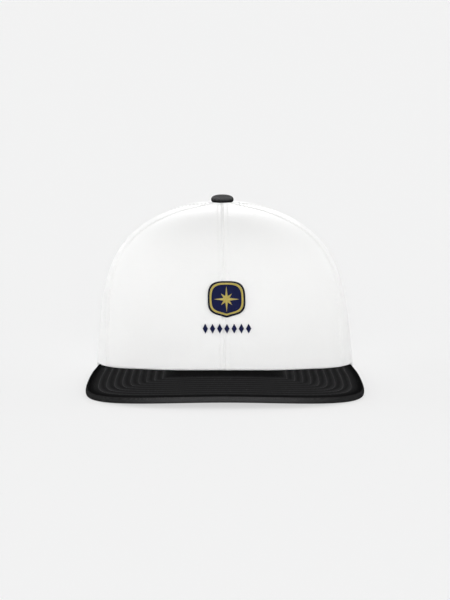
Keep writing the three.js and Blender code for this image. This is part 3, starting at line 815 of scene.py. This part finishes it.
# The sky, for a direction's upward part z: zenith + horizon * e^-(z / width)^2. The camera sees it pale.
towards = separate(addNode(sky, "ShaderNodeTexCoord").outputs["Generated"])
slope = calculate("DIVIDE", towards["Z"], studio["bandWidth"])
ring = calculate("EXPONENT", calculate("MULTIPLY", calculate("MULTIPLY", slope, slope), -1.0))
glowing = calculate("MULTIPLY_ADD", ring, studio["horizon"], studio["zenith"])
lighting, seen = [
    addNode(sky, "ShaderNodeBackground", {"Color": (1, 1, 1, 1), "Strength": strength}).outputs[0]
    for strength in (glowing, studio["paleTone"])
]
straight = addNode(sky, "ShaderNodeLightPath").outputs["Is Camera Ray"]
chosen = addNode(sky, "ShaderNodeMixShader", {0: straight, 1: lighting, 2: seen})
addNode(sky, "ShaderNodeOutputWorld", {"Surface": chosen.outputs[0]})

for title, azimuth, elevation, strength, spread in studio["lamps"]:
    lamp = bpy.data.lights.new(title, "SUN")
    lamp.energy = strength
    lamp.angle = math.radians(spread)
    body = addObject(title, lamp)
    body.rotation_euler = (quarterTurn - math.radians(elevation), 0, math.radians(azimuth))

half = studio["floorSize"] / 2
floorMesh = bpy.data.meshes.new("floor")
corners = [(-half, -half, 0), (half, -half, 0), (half, half, 0), (-half, half, 0)]
floorMesh.from_pydata(corners, [], [range(4)])
floor = addObject("floor", floorMesh)
floorTree, floorShader = newMaterial("paleFloor")
floorMesh.materials.append(materials["paleFloor"])
# The lit floor gives tone * (zenith + horizon * width^2 + the sum of the lamps' strength *
# sin(elevation) / pi). An even glow that only the camera sees makes up the rest, so that shadows on
# it stay faint.
fromLamps = sum(lamp[3] * math.sin(math.radians(lamp[2])) for lamp in studio["lamps"])
fromRing = studio["zenith"] + studio["horizon"] * studio["bandWidth"] ** 2
glow = studio["paleTone"] - studio["floorTone"] * (fromRing + fromLamps / halfTurn)
# Painted shadow: under the crown and the peak, where |x / a|^p + |y / b|^p is below 1, most of the glow is
# left out.
straight = addNode(floorTree, "ShaderNodeLightPath").outputs["Is Camera Ray"]
onFloor = separate(addNode(floorTree, "ShaderNodeTexCoord").outputs["Object"])
sizes = []
for middle, halfWidth, halfDepth, power in studio["shades"]:
    spans = []
    for along, start, half in ((onFloor["X"], 0, halfWidth), (onFloor["Y"], axisY + middle, halfDepth)):
        away = calculate("DIVIDE", calculate("SUBTRACT", along, start / 1000), half / 1000)
        spans.append(calculate("POWER", calculate("ABSOLUTE", away), power))
    sizes.append(calculate("ADD", *spans))
outside = calculate("GREATER_THAN", calculate("MINIMUM", *sizes), 1.0)
kept = calculate("MULTIPLY_ADD", outside, 1 - studio["paintedShadowGlow"], studio["paintedShadowGlow"])
setInputs(floorShader, {
    "Base Color": (*[studio["floorTone"]] * 3, 1),
    "Roughness": 1.0,
    "Specular IOR Level": 0.0,
    "Emission Color": (1, 1, 1, 1),
    "Emission Strength": calculate("MULTIPLY", straight, calculate("MULTIPLY", kept, glow)),
})
print("camera, light and floor set")


# Crown panels

columnMargin = 9.9  # from a seam to the evenly spaced columns, in millimetres
columnPitch = 1.45
nearSeam = np.concatenate([np.linspace(0, 4.6, 13), np.linspace(5.2, 9, 6)])  # the columns beside it


# Each column's share across the panel and the rise at its lower edge. The columns stand close
# together beside seams, and those of the back panel follow the rim, then the half-moon's edge.
def panelColumns(name):
    panel = panels[name]
    hem = crown["wall"] / 2
    rimStart, rimEnd = [math.radians(seams[panel[side]][0]) for side in ("from", "to")]
    if name != "back":
        width = (rimEnd - rimStart) * crown["turnLength"]
        margin, count = columnMargin / width, int((width - 2 * columnMargin) / columnPitch)
        near = nearSeam / width
        across = np.concatenate([near, np.linspace(margin, 1 - margin, count), 1 - near[::-1]])
        azimuth = mix(rimStart, rimEnd, across)
        return across, riseAtHeight(azimuth, rimHeight(azimuth) + hem)
    footShare = archShare(hem, arch["height"] + hem)
    shares = np.concatenate([np.linspace(footShare, 0.93, 66), np.linspace(0.934, 1, 16)])
    azimuth, archRise = wallAt(*archPoint(shares, hem), back=True)
    width = (azimuth[0] - rimStart) * crown["turnLength"]
    across = np.concatenate([nearSeam / width, np.linspace(columnMargin / width, 1, 26)[:-1]])
    rim = mix(rimStart, azimuth[0], across)
    rimRise = riseAtHeight(rim, rimHeight(rim) + hem)
    azimuth, start = np.concatenate([rim, azimuth]), np.concatenate([rimRise, archRise])
    low, high = seamAngle(panel["from"], start), seamAngle(panel["to"], start)
    return (azimuth - low) / (high - low), start


# One panel as a closed wall: rises run from the lower edge to the eye, angles are mixed between
# its seams, and the sewing's relief goes by the distance to the nearer seam.
def buildPanel(name, side):
    panel = panels[name]
    across, start = [values[:, None] for values in panelColumns(name)]
    topAngle = np.radians(mix(seams[panel["from"]][1], seams[panel["to"]][1], across))
    rise = mix(start, riseAtReach(topAngle, crown["eyeRadius"]), np.linspace(0, 1, crown["rowsUp"]))
    low, high = seamAngle(panel["from"], rise), seamAngle(panel["to"], rise)
    azimuth = mix(low, high, across)
    reach = reachAt(azimuth, rise)
    upwards = rise * crown["riseLength"]
    relief = seamRelief(np.minimum(azimuth - low, high - azimuth) * reach, upwards, reach)
    if name == "back":
        smooth = smoothPoint(azimuth, rise)
        edge = archDistance(smooth[..., 0], smooth[..., 2])
        relief = relief + sum(channelAt(arch, edge - inset) for inset in arch["rowInsets"])
    outer = crownPoint(azimuth, rise, 0.0, relief)
    inner = crownPoint(azimuth, rise, crown["wall"])
    cloth = together(side * (azimuth - (low + high) / 2) * reach, upwards)
    if side < 0:
        mirror = np.array([-1, 1, 1])
        outer, inner, cloth = outer[::-1] * mirror, inner[::-1] * mirror, cloth[::-1]
    node = f"{name}_panel_{'left' if side > 0 else 'right'}"
    clothWall(node, outer, inner, (1, 0, 0, 0), "whiteTwill", cloth)


for name in panels:
    for side in (1, -1):
        buildPanel(name, side)
print("crown panels made")

# Rows of stitches on the crown

# Each seam's rows: the sides of the seam that they are on, and the rise at which they start
archTop = float(riseAtHeight(halfTurn, arch["height"] + 3))
seamRows = {
    "front": ([1], 0.115),
    "sideFront": ([1, -1], 0.11),
    "sideBack": ([1, -1], 0.035),
    "back": ([-1], archTop),
}


# A row along angles and rises on the crown, laid in the relief at its distance from a seam.
def crownRow(azimuth, rise, toSeam, sunk=0.0):
    relief = seamRelief(toSeam, rise * crown["riseLength"], reachAt(azimuth, rise)) - sunk
    line = crownPoint(azimuth, rise, 0.0, relief)
    return spacedAlong(line, crownNormal(azimuth, rise), sewing["stitchPitch"])


# A row beside a seam: the seam's angle plus its inset over the reach there, up the crown.
def seamRow(name, offset, side, lowest):
    rise = np.linspace(lowest, riseAtReach(np.radians(seams[name][1]), 11.0), 260)
    azimuth = seamAngle(name, rise)
    azimuth = side * (azimuth + offset / reachAt(azimuth, rise))
    return crownRow(azimuth, rise, np.full(rise.shape, abs(offset)))


# A row round the half-moon: its edge with a margin, laid on the back wall.
def archRow(inset):
    share = np.linspace(-1, 1, 400)
    x, height = archPoint(1 - np.abs(share), inset)
    keep = height > 3
    azimuth, rise = wallAt((np.sign(share) * x)[keep], height[keep], back=True)
    toSeam = np.abs(halfTurn - azimuth) * reachAt(azimuth, rise)
    return crownRow(azimuth, rise, toSeam, arch["channelDepth"])


rows = [
    seamRow(name, offset * sewing["rowInset"], side, lowest)
    for name, (offsets, lowest) in seamRows.items() for offset in offsets for side in (1, -1)
]
stitchPiece("seam_stitches", rows, sewing, "whiteSewing")
stitchPiece("half_moon_stitches", [archRow(inset) for inset in arch["rowInsets"]], sewing, "whiteSewing")
print("crown stitches made")


# Peak

# Distance from points in plan to the peak's outer edge, by the nearest of many points along it.
def edgeDistance(x, y):
    line = peakEdgeAt(np.linspace(0, 1, 500))
    parts = np.array_split(together(x, y).reshape(-1, 2), 24)
    squares = [((part[:, None] - line) ** 2).sum(axis=-1).min(axis=1) for part in parts]
    return np.sqrt(np.concatenate(squares)).reshape(x.shape)


# Relief of the stitched peak: a channel at each row, and between rows a low swell of quilting of
# height * (1 - cos(2 pi phase)) / 2, both fading towards the crown. With it, the cloth's painted light:
# painted sheen, most of all beside the rows, and painted shade on the plain cloth next to the crown.
def peakRelief(distance, fromCrown):
    count = peak["rowCount"]
    phase = (distance - peak["rowStart"]) / peak["rowPitch"]
    gap = (phase - np.clip(np.round(phase), 0, count - 1)) * peak["rowPitch"]
    swell = peak["quiltHeight"] * (1 - np.cos(fullTurn * phase)) / 2
    onset, beyond = smoothStep(phase, -1, -0.4), smoothStep(phase, count - 0.6, count)
    plain = mix(1, peak["paintedCrownShade"], smoothStep(phase, count - 0.8, count + 1))
    light = onset * plain * mix(peak["paintedSheenTone"], 1, bell(gap, 0, peak["paintedSheenWidth"]))
    relief = channelAt(peak, gap) + swell * onset * (1 - beyond)
    return relief * smoothStep(fromCrown, *peak["reliefEase"]), light


# The peak's inner line on the crown, its outer edge, and the room between them, all in plan.
def peakLines(columns):
    t = np.linspace(0, 1, columns)
    inner = together(*rimPlan(mix(-tipAzimuth, tipAzimuth, t), crown["wall"]))
    outer = peakEdgeAt(t)
    return inner, outer, np.linalg.norm(outer - inner, axis=1)[:, None]


# The upper cloth: points in plan from the inner line to the groove near the edge, each at the sole's
# height plus the thickness and the relief, over a hidden face a ply below.
def buildPeakUpper():
    inner, outer, room = peakLines(peak["columns"])
    margin = peak["seamInset"] + peak["rollInset"]
    reached = np.linspace(0, 1, peak["rows"]) * (1 - margin * np.minimum(1, room / peak["tipRoom"]) / room)
    plan = (inner[:, None] + (outer - inner)[:, None] * reached[..., None])[::-1]
    x, y = plan[..., 0], plan[..., 1]
    distance = edgeDistance(x, y)
    relief, light = peakRelief(distance, fromRim(x, y))
    level = soleHeight(x, y) + peak["thickness"] - thinning(x, y)
    rolled = peak["rollDepth"] * bell(distance, margin, peak["rollWidth"])
    upper, hidden = together(x, y, level + relief - rolled), together(x, y, level - peak["hiddenPly"])
    # The upper cloth carries the painted sheen by the rows and the painted shade next to the crown.
    clothWall("peak_upper", upper, hidden, (0, 0, 1, 0), "blackTwill", plan, light)


# The under cloth wraps the edge: from the crown along the sole, round the edge and over to the
# groove, then back inside. Insets and lifts are in millimetres from the edge and the sole.
def buildPeakUnder():
    inner, outer, room = peakLines(peak["underColumns"])
    top, bend, ply = peak["thickness"], peak["edgeRound"], peak["hiddenPly"]
    turn = np.linspace(0, quarterTurn, 7)
    lower = together(bend * (1 - np.sin(turn)), bend * (1 - np.cos(turn)))
    upper = together(bend * (1 - np.cos(turn)), top - bend * (1 - np.sin(turn)))
    groove = [(bend + 0.5, top - 0.05), (bend + 0.85, top - 0.45), (bend + 0.95, top - 1.1)]
    section = np.vstack([lower, upper, groove, [(bend + 0.95, ply), (peak["tipRoom"], ply)]])
    squeeze = np.minimum(1, room / (peak["tipRoom"] + 0.5))
    inset = section[:, 0] * squeeze
    soleInset = mix(room, bend * squeeze, np.linspace(0, 1, peak["soleRows"], endpoint=False))
    backInset = mix(inset[:, -1:], room, np.linspace(0, 1, peak["backRows"] + 1)[1:])
    lift = np.concatenate([np.zeros(peak["soleRows"]), section[:, 1], np.full(peak["backRows"], ply)])
    lift = lift * (1 - thinning(outer[:, :1], outer[:, 1:]) / top)
    share = np.hstack([soleInset, inset, backInset]) / room
    plan = outer[:, None] + (inner - outer)[:, None] * share[..., None]
    x, y = plan[..., 0], plan[..., 1]
    index = gridIndex(*lift.shape)
    faces = [sectionQuads(index), index[0][None], index[-1][None, ::-1]]
    # Painted light: the cloth round the edge is painted lighter towards the front centre, and not at all on
    # the sole.
    light = peak["edgePaintedLight"] * (1 - smoothStep(np.abs(x), *peak["edgeFade"])) * smoothStep(lift, 0.2, 1)
    points, cloth = together(x, y, soleHeight(x, y) + lift), together(x, y - lift)
    makePiece("peak_under_cloth", points, faces, "edgeTwillPaintedLight", cloth, light, "peak_under")


# A row of stitches on the peak: the edge moved inwards by its inset, as far as the crown.
def peakRow(inset):
    edge = peakEdgeAt(np.linspace(0, 1, 1200))
    along = np.gradient(edge, axis=0)
    row = edge + unit(together(-along[:, 1], along[:, 0])) * inset
    x, y = row.T
    inFront = (fromRim(x, y) > 0.9) & (np.abs(np.arctan2(x, -y)) < tipAzimuth)
    x, y = row[inFront & (edgeDistance(x, y) > inset - 0.25)].T
    sunk = thinning(x, y) + peak["channelDepth"] * smoothStep(fromRim(x, y), *peak["reliefEase"])
    path = together(x, y, soleHeight(x, y) + peak["thickness"] - sunk)
    normals = together(2 * peakBend * x / (peak["bendOrigin"] - y), -0.07, 1)
    return spacedAlong(path, unit(normals), peak["stitchPitch"])


buildPeakUpper()
buildPeakUnder()
rows = [peakRow(peak["rowStart"] + k * peak["rowPitch"]) for k in range(peak["rowCount"])]
stitchPiece("peak_stitches", rows, peak, "blackSewingPaintedSheen")
print("peak made")

# Button: a cushion shape of cloth gathered over a disc

button = {
    "radius": 7.7,
    "foot": 6.2,
    "shank": 3,
    "shankDepth": 1.2,
    "waistRise": 1.7,
    "height": 5.1,
    "squareness": 2.5,
    "base": 1.4,
    "gathers": 12,
    "gatherShare": 0.006,  # of the radius, at the foot
    "paintedLightRise": (-0.6, 2.6),  # painted light: from the waist, between which the cloth is painted lighter towards the top
    "sides": 96,
}


# The dome is radius * cos^p outwards and height * sin^p upwards, with p = 2 / squareness, over a
# foot that is tucked under it. Slight gathers follow cos(12 angle) towards the foot.
def buildButton():
    domeCosine, domeSine = squared(np.linspace(0, quarterTurn, 30)[:-1], button["squareness"])
    under = np.linspace(-quarterTurn, 0, 8)[:-1]
    waist = button["base"] + button["waistRise"]
    domeUp = waist + (button["height"] - button["waistRise"]) * domeSine
    footOut = mix(button["foot"], button["radius"], np.cos(under) ** 0.9)
    out = np.concatenate([[button["shank"]], footOut, button["radius"] * domeCosine])
    shankFoot = button["base"] - button["shankDepth"]
    up = np.concatenate([[shankFoot], waist + button["waistRise"] * np.sin(under), domeUp])
    angle = anglesOf(button["sides"])
    out = out * (1 + button["gatherShare"] * np.cos(button["gathers"] * angle) * (1 - up / up.max()))
    ring = together(np.cos(angle) * out, np.sin(angle) * out, crown["height"] + up)
    points, faces = capped(ring, (0, 0, crown["height"] + button["base"] + button["height"]))
    # Painted light: the button's cloth is painted darker at the foot and lighter towards the top.
    low, high = button["paintedLightRise"]
    light = smoothStep(points[:, 2] - crown["height"], waist + low, waist + high)
    makePiece("top_button_cloth", points, faces, "buttonTwill", points[:, :2], light, "top_button")


buildButton()
print("button made")

# Sweatband and tape

band = {
    "height": 30,
    "wall": 1.2,
    "gap": 0.5,
    "wave": 0.12,
    "pressDepth": 0.25,
    "pressInset": 4.5,  # from the upper edge to the pressed line
    "pressWidth": 0.9,
    "columns": 420,
    "rows": 22,
    "strapEnd": 13,
}
inside = crown["wall"] + band["gap"]  # depth of the sweatband's outer face


# The sweatband: height over its foot by depth inside the crown, with a soft rolled upper edge and
# a pressed line near it.
def buildSweatband():
    azimuth = np.linspace(-bandEnd, bandEnd, band["columns"])[:, None]
    up = np.linspace(0.02, 0.98, band["rows"])
    over = up * band["height"]
    rise = riseAtHeight(azimuth, footHeight(azimuth) + over)
    wave = band["wave"] * np.sin(azimuth * 23) * np.sin(azimuth * 7 + 1) * up
    press = band["pressDepth"] * bell(over, band["height"] - band["pressInset"], band["pressWidth"])
    outer = crownPoint(azimuth, rise, inside)
    inner = crownPoint(azimuth, rise, inside + band["wall"] + wave - press)
    clothWall("sweatband", outer, inner, (1, 1, 1, 1), "whiteBand", together(azimuth * 90, over))


# Length and angle along the line of the straps, from the back centre to the side.
strapAzimuth = np.linspace(halfTurn, quarterTurn, 2000)
strapLength = lengthAlong(crownPoint(strapAzimuth, riseAtHeight(strapAzimuth, 10.0), inside))


# Angle at a signed distance along the straps' line, from the back centre towards +X.
def backAzimuth(distance):
    turn = halfTurn - np.interp(np.abs(distance), strapLength, strapAzimuth)
    return halfTurn - np.sign(distance) * turn


archFootAzimuth = float(wallAt(arch["halfWidth"], 0.0, back=True)[0])
archFoot = float(np.interp(halfTurn - archFootAzimuth, halfTurn - strapAzimuth, strapLength))
bandEnd = float(backAzimuth(archFoot + band["strapEnd"] + 0.3))
buildSweatband()
print("sweatband made")


# The tape inside the half-moon: from its edge to its width outside it, over the straps.
def buildArchTape():
    along = np.linspace(-1, 1, 150)[:, None]
    share = mix(1, archShare(arch["tapeFoot"], arch["height"]), np.abs(along))
    margin = np.linspace(0.3, arch["tapeWidth"], 12)
    x, height = archPoint(share, margin)
    azimuth, rise = wallAt(-np.sign(along) * x, np.maximum(height, arch["tapeFoot"]), back=True)
    depth = crown["wall"] + 0.2
    outer, inner = [crownPoint(azimuth, rise, depth + wall) for wall in (0, arch["tapeWall"])]
    clothWall("arch_tape", outer, inner, (1, 1, 1, 1), "whiteBand", together(along * 75, margin))


buildArchTape()

# Badge and lozenges

badge = {
    "shift": 1.9,  # to the wearer's left of the centre seam
    "rise": 57.5,
    "halfWidth": 12.2,
    "halfHeight": 11.4,
    "wall": 0.9,
    "motifWall": 0.6,
    "borderOuter": 0.9,
    "borderInner": 0.79,
    "starRadius": 8.2,
    "starWaist": 2.1,
    "starMinorShare": 0.62,
    "starLift": 0.22,
    "lift": 0.3,  # over the cloth
    "sides": 240,
    "starSides": 160,
}
lozenge = {"count": 7, "pitch": 4.7, "halfWidth": 1.7, "halfHeight": 3.1, "rise": 39, "sides": 48}


# The badge's outline: a superellipse above, drawn to a point below by mixing its exponent.
def shieldAt(angle):
    power = np.where(np.cos(angle) > 0, 3.2, mix(3.2, 1.45, np.cos(angle) ** 2))
    return superellipse(angle, badge["halfWidth"], badge["halfHeight"], power)


# An eight-pointed star with straight edges: between two corners at radii p and q a step apart, the
# radius is p q sin(step) / (p sin(part) + q sin(step - part)).
def starAt(angle):
    step = quarterTurn / 4
    place = np.mod(angle, fullTurn) / step
    low = np.floor(place + 1e-6).astype(int)
    minor = badge["starRadius"] * badge["starMinorShare"]
    corners = np.array([badge["starRadius"], badge["starWaist"], minor, badge["starWaist"]])
    start, end = corners[low % 4], corners[(low + 1) % 4]
    part = (place - low) * step
    return start * end * math.sin(step) / (start * np.sin(part) + end * np.sin(step - part))


# A diamond, which is a superellipse of power 1.
def lozengeAt(angle):
    return superellipse(angle, lozenge["halfWidth"], lozenge["halfHeight"], 1)


# A sewn piece on the front: rings of an outline, each a share of it at a lift over the cloth. It is
# filled to its middle, or closed as a band, whose threads can run round it.
def sewnOn(title, node, outlineAt, sides, profile, centre, finish, relief=None, isBand=False, isRound=False):
    share, lift = np.array(profile, dtype=float).T
    angle = anglesOf(sides)
    outline = outlineAt(angle)
    size = outline * share
    x, height = centre[0] + size * np.sin(angle), centre[1] + size * np.cos(angle)
    raised = lift + relief(angle, share) if relief else lift
    azimuth, rise = wallAt(x, height)
    lifted = panels["front"]["puff"] + badge["lift"] + raised
    ring = smoothPoint(azimuth, rise) + crownNormal(azimuth, rise) * lifted[..., None]
    cloth = together(size, angle * outline.mean()) if isRound else together(x, height)
    if isBand:
        index = gridIndex(*size.shape)
        points, faces = ring, [loopQuads(np.hstack([index, index[:, :1]]))]
    else:
        points, faces = capped(ring, ring[:, -1].mean(axis=0))
        cloth = np.vstack([cloth.reshape(-1, 2), cloth[:, -1].mean(axis=0)])
    faces = [block[:, ::-1] for block in faces]
    makePiece(f"{title}_stitching", points, faces, finish, cloth, node=node)


def buildBadge():
    wall, motif, inner, outer = [badge[key] for key in ("wall", "motifWall", "borderInner", "borderOuter")]
    centre, sides = (badge["shift"], badge["rise"]), badge["sides"]
    field = [(share, wall) for share in np.linspace(0.9, 0.04, 22)]
    field = [(0.95, -0.8), (0.95, 0.6), (0.93, wall)] + field
    sewnOn("badge_patch", "badge_patch", shieldAt, sides, field, centre, "navyThread")
    edge = [
        (0.94, -0.8), (0.985, -0.8), (1.0, -0.2), (1.0, 0.5), (0.99, 0.9), (0.97, 1.15), (0.945, 1.15),
        (0.93, 1.0), (0.93, 0.3),
    ]
    threads = lambda angle, share: 0.05 * np.sin(angle * 120) * smoothStep(share, 0.9, 0.95)
    sewnOn("badge_rim", None, shieldAt, 2 * sides, edge, centre, "darkRim", threads, isBand=True)
    turn = np.linspace(0, halfTurn, 9)
    cord = [(mix(outer, inner, (1 - math.cos(a)) / 2), wall + 0.1 + motif * math.sin(a)) for a in turn]
    cord = cord + [(inner, wall - 0.2), (outer, wall - 0.2)]
    rope = lambda angle, share: 0.12 * np.sin(angle * 64 + share * 40)
    sewnOn("badge_border", "badge_border", shieldAt, 2 * sides, cord, centre, "goldThread", rope, True, True)
    top = wall + badge["starLift"]
    star = [(share, top + (1 - share) * 0.85) for share in np.linspace(0.94, 0.06, 14)]
    star = [(1.0, wall - 0.2), (1.0, top)] + star
    sewnOn("badge_star", "badge_star", starAt, badge["starSides"], star, centre, "goldThread")


def buildLozenges():
    dome = [(share, 0.2 + badge["motifWall"] * (1 - share) ** 0.6) for share in np.linspace(0.92, 0.1, 9)]
    profile = [(1.0, -0.7), (1.0, 0.2)] + dome
    for k in range(lozenge["count"]):
        place, node = badge["shift"] + (k - (lozenge["count"] - 1) / 2) * lozenge["pitch"], f"lozenge_{k + 1}"
        sewnOn(node, node, lozengeAt, lozenge["sides"], profile, (place, lozenge["rise"]), "navyThread")


buildBadge()
buildLozenges()
print("badge and lozenges made")

# Snap straps

strap = {
    "foot": 1,  # its lower edge above the rim's plane
    "width": 18,
    "wall": 1.4,
    "outerDepth": 2.3,  # under the crown's outside
    "innerDepth": 4.0,
    "pitch": 9.5,
    "count": 7,
    "fastened": 5,
    "holeRadius": 2.7,
    "pegRadius": 2.3,
    "headRadius": 3.05,
    "neck": 0.55,  # from the strap that the pegs pass through to their heads
    "sides": 36,
    "edgeRound": 0.22,
}
tipRadius = strap["width"] / 2
lastSnap = (strap["fastened"] - 1) / 2 * strap["pitch"]
strapReach = lastSnap + strap["pitch"] - strap["headRadius"] - 0.3
strapEnd = archFoot + band["strapEnd"]
snapPlaces = np.arange(strap["count"]) * strap["pitch"] - lastSnap
cellShares = np.linspace(-1, 1, 13)  # across the strap, where neighbouring cells meet


# A point of a strap: its distance along the back wall's line, height and depth under the outside.
def strapPoint(distance, height, depth):
    azimuth = backAzimuth(distance)
    return crownPoint(azimuth, riseAtHeight(azimuth, strap["foot"] + tipRadius + height), depth)


# Depth of the strap with pegs: under the other one, then beside it towards its sewn end.
def pegDepth(distance):
    return mix(strap["innerDepth"], strap["outerDepth"], smoothStep(distance, strapReach + 0.3, archFoot))


# Plan of a cell round a hole: rays from the hole's edge to the cell's border, which is a rectangle,
# or the tip's circle where the strap ends. The first ray is there again as the last.
def holeCell(centre, isTip):
    halfPitch, heights = strap["pitch"] / 2, cellShares * tipRadius
    tops = np.linspace(halfPitch, -halfPitch, 9)
    sides = [(halfPitch, heights), (tops, tipRadius), (-halfPitch, -heights), (-tops, -tipRadius)]
    border = np.vstack([together(*side)[:-1] for side in sides])
    size = np.linalg.norm(border, axis=1, keepdims=True)
    direction = border / size
    if isTip:
        offset = tipRadius - (strapReach - lastSnap)  # the tip circle's middle, from the hole's
        along = offset * direction[:, :1]
        size = np.where(border[:, :1] < offset, along + np.sqrt(along**2 + tipRadius**2 - offset**2), size)
    reach = mix(strap["holeRadius"], size, np.linspace(0, 1, 8) ** 1.3)
    plan = direction[:, None] * reach[..., None] + (centre, 0)
    return np.vstack([plan, plan[:1]])


# A sheet from several grids in plan, laid on the back wall and welded, then given its thickness and
# rounded edges.
def strapPiece(name, node, grids, depthAt, side):
    points, faces, start = [], [], 0
    for grid in grids:
        along, height = grid[..., 0], grid[..., 1]
        points.append(strapPoint(along, height, depthAt(along)).reshape(-1, 3) * (side, 1, 1))
        faces.append(start + gridQuads(gridIndex(*along.shape))[:, ::side])
        start += along.size
    piece = makePiece(name, np.vstack(points), faces, "blackPlastic", node=node, sharp=35, weld=True)
    thick = piece.modifiers.new("wall", "SOLIDIFY")
    thick.thickness, thick.offset = strap["wall"] / 1000, -1
    rounded = piece.modifiers.new("edges", "BEVEL")
    rounded.width, rounded.segments = strap["edgeRound"] / 1000, 2
    rounded.limit_method, rounded.angle_limit = "ANGLE", math.radians(50)


def buildHoleStrap():
    along = np.linspace(snapPlaces[-1] + strap["pitch"] / 2, strapEnd, 12)[::-1, None]
    cells = [holeCell(place, k == 0) for k, place in enumerate(snapPlaces)]
    grids = cells + [together(along, cellShares * tipRadius)]
    strapPiece("hole_strap", "snap_strap_holes", grids, lambda along: strap["outerDepth"], -1)


# The strap's half width is sqrt(r^2 - (r - d)^2) at a distance d from its round tip, then r. Pegs are a
# lathe profile of (radius, rise) round each peg's own outward direction.
def buildPegStrap():
    tip = tipRadius * (1 - np.cos(np.linspace(0.04, quarterTurn, 14)))
    fromTip = np.concatenate([tip, np.linspace(tipRadius + 1, strapReach + strapEnd, 60)])[::-1, None]
    halfWidth = np.sqrt(tipRadius**2 - np.maximum(tipRadius - fromTip, 0) ** 2)
    plan = together(fromTip - strapReach, halfWidth * cellShares)
    strapPiece("peg_strap", "snap_strap_pegs", [plan], pegDepth, 1)
    radius, head, neck = strap["pegRadius"], strap["headRadius"], strap["wall"] + strap["neck"]
    out, lift = np.array([
        (radius, -0.9), (radius, neck - 0.25), (radius + 0.25, neck), (head - 0.12, neck + 0.05),
        (head, neck + 0.2), (head - 0.05, neck + 0.45), (head - 0.5, neck + 0.8), (head - 1.3, neck + 0.98),
        (0.9, neck + 1.0), (0.6, neck + 0.88),
    ]).T
    azimuth = backAzimuth(snapPlaces)
    rise = riseAtHeight(azimuth, strap["foot"] + tipRadius)
    normal = crownNormal(azimuth, rise)
    across = unit(np.cross([0, 0, 1], normal))
    angle = anglesOf(strap["sides"])
    ring = together(np.cos(angle) * out, np.sin(angle) * out, lift)
    ends = [(0, 0, -0.9), (0, 0, neck + 0.85)]
    centres = crownPoint(azimuth, rise, pegDepth(snapPlaces))
    points, faces = turnedCopies(ring, ends, centres, (across, np.cross(normal, across), normal))
    makePiece("snap_pegs", points, faces, "blackPlastic", sharp=60)


buildHoleStrap()
buildPegStrap()
print("straps made")
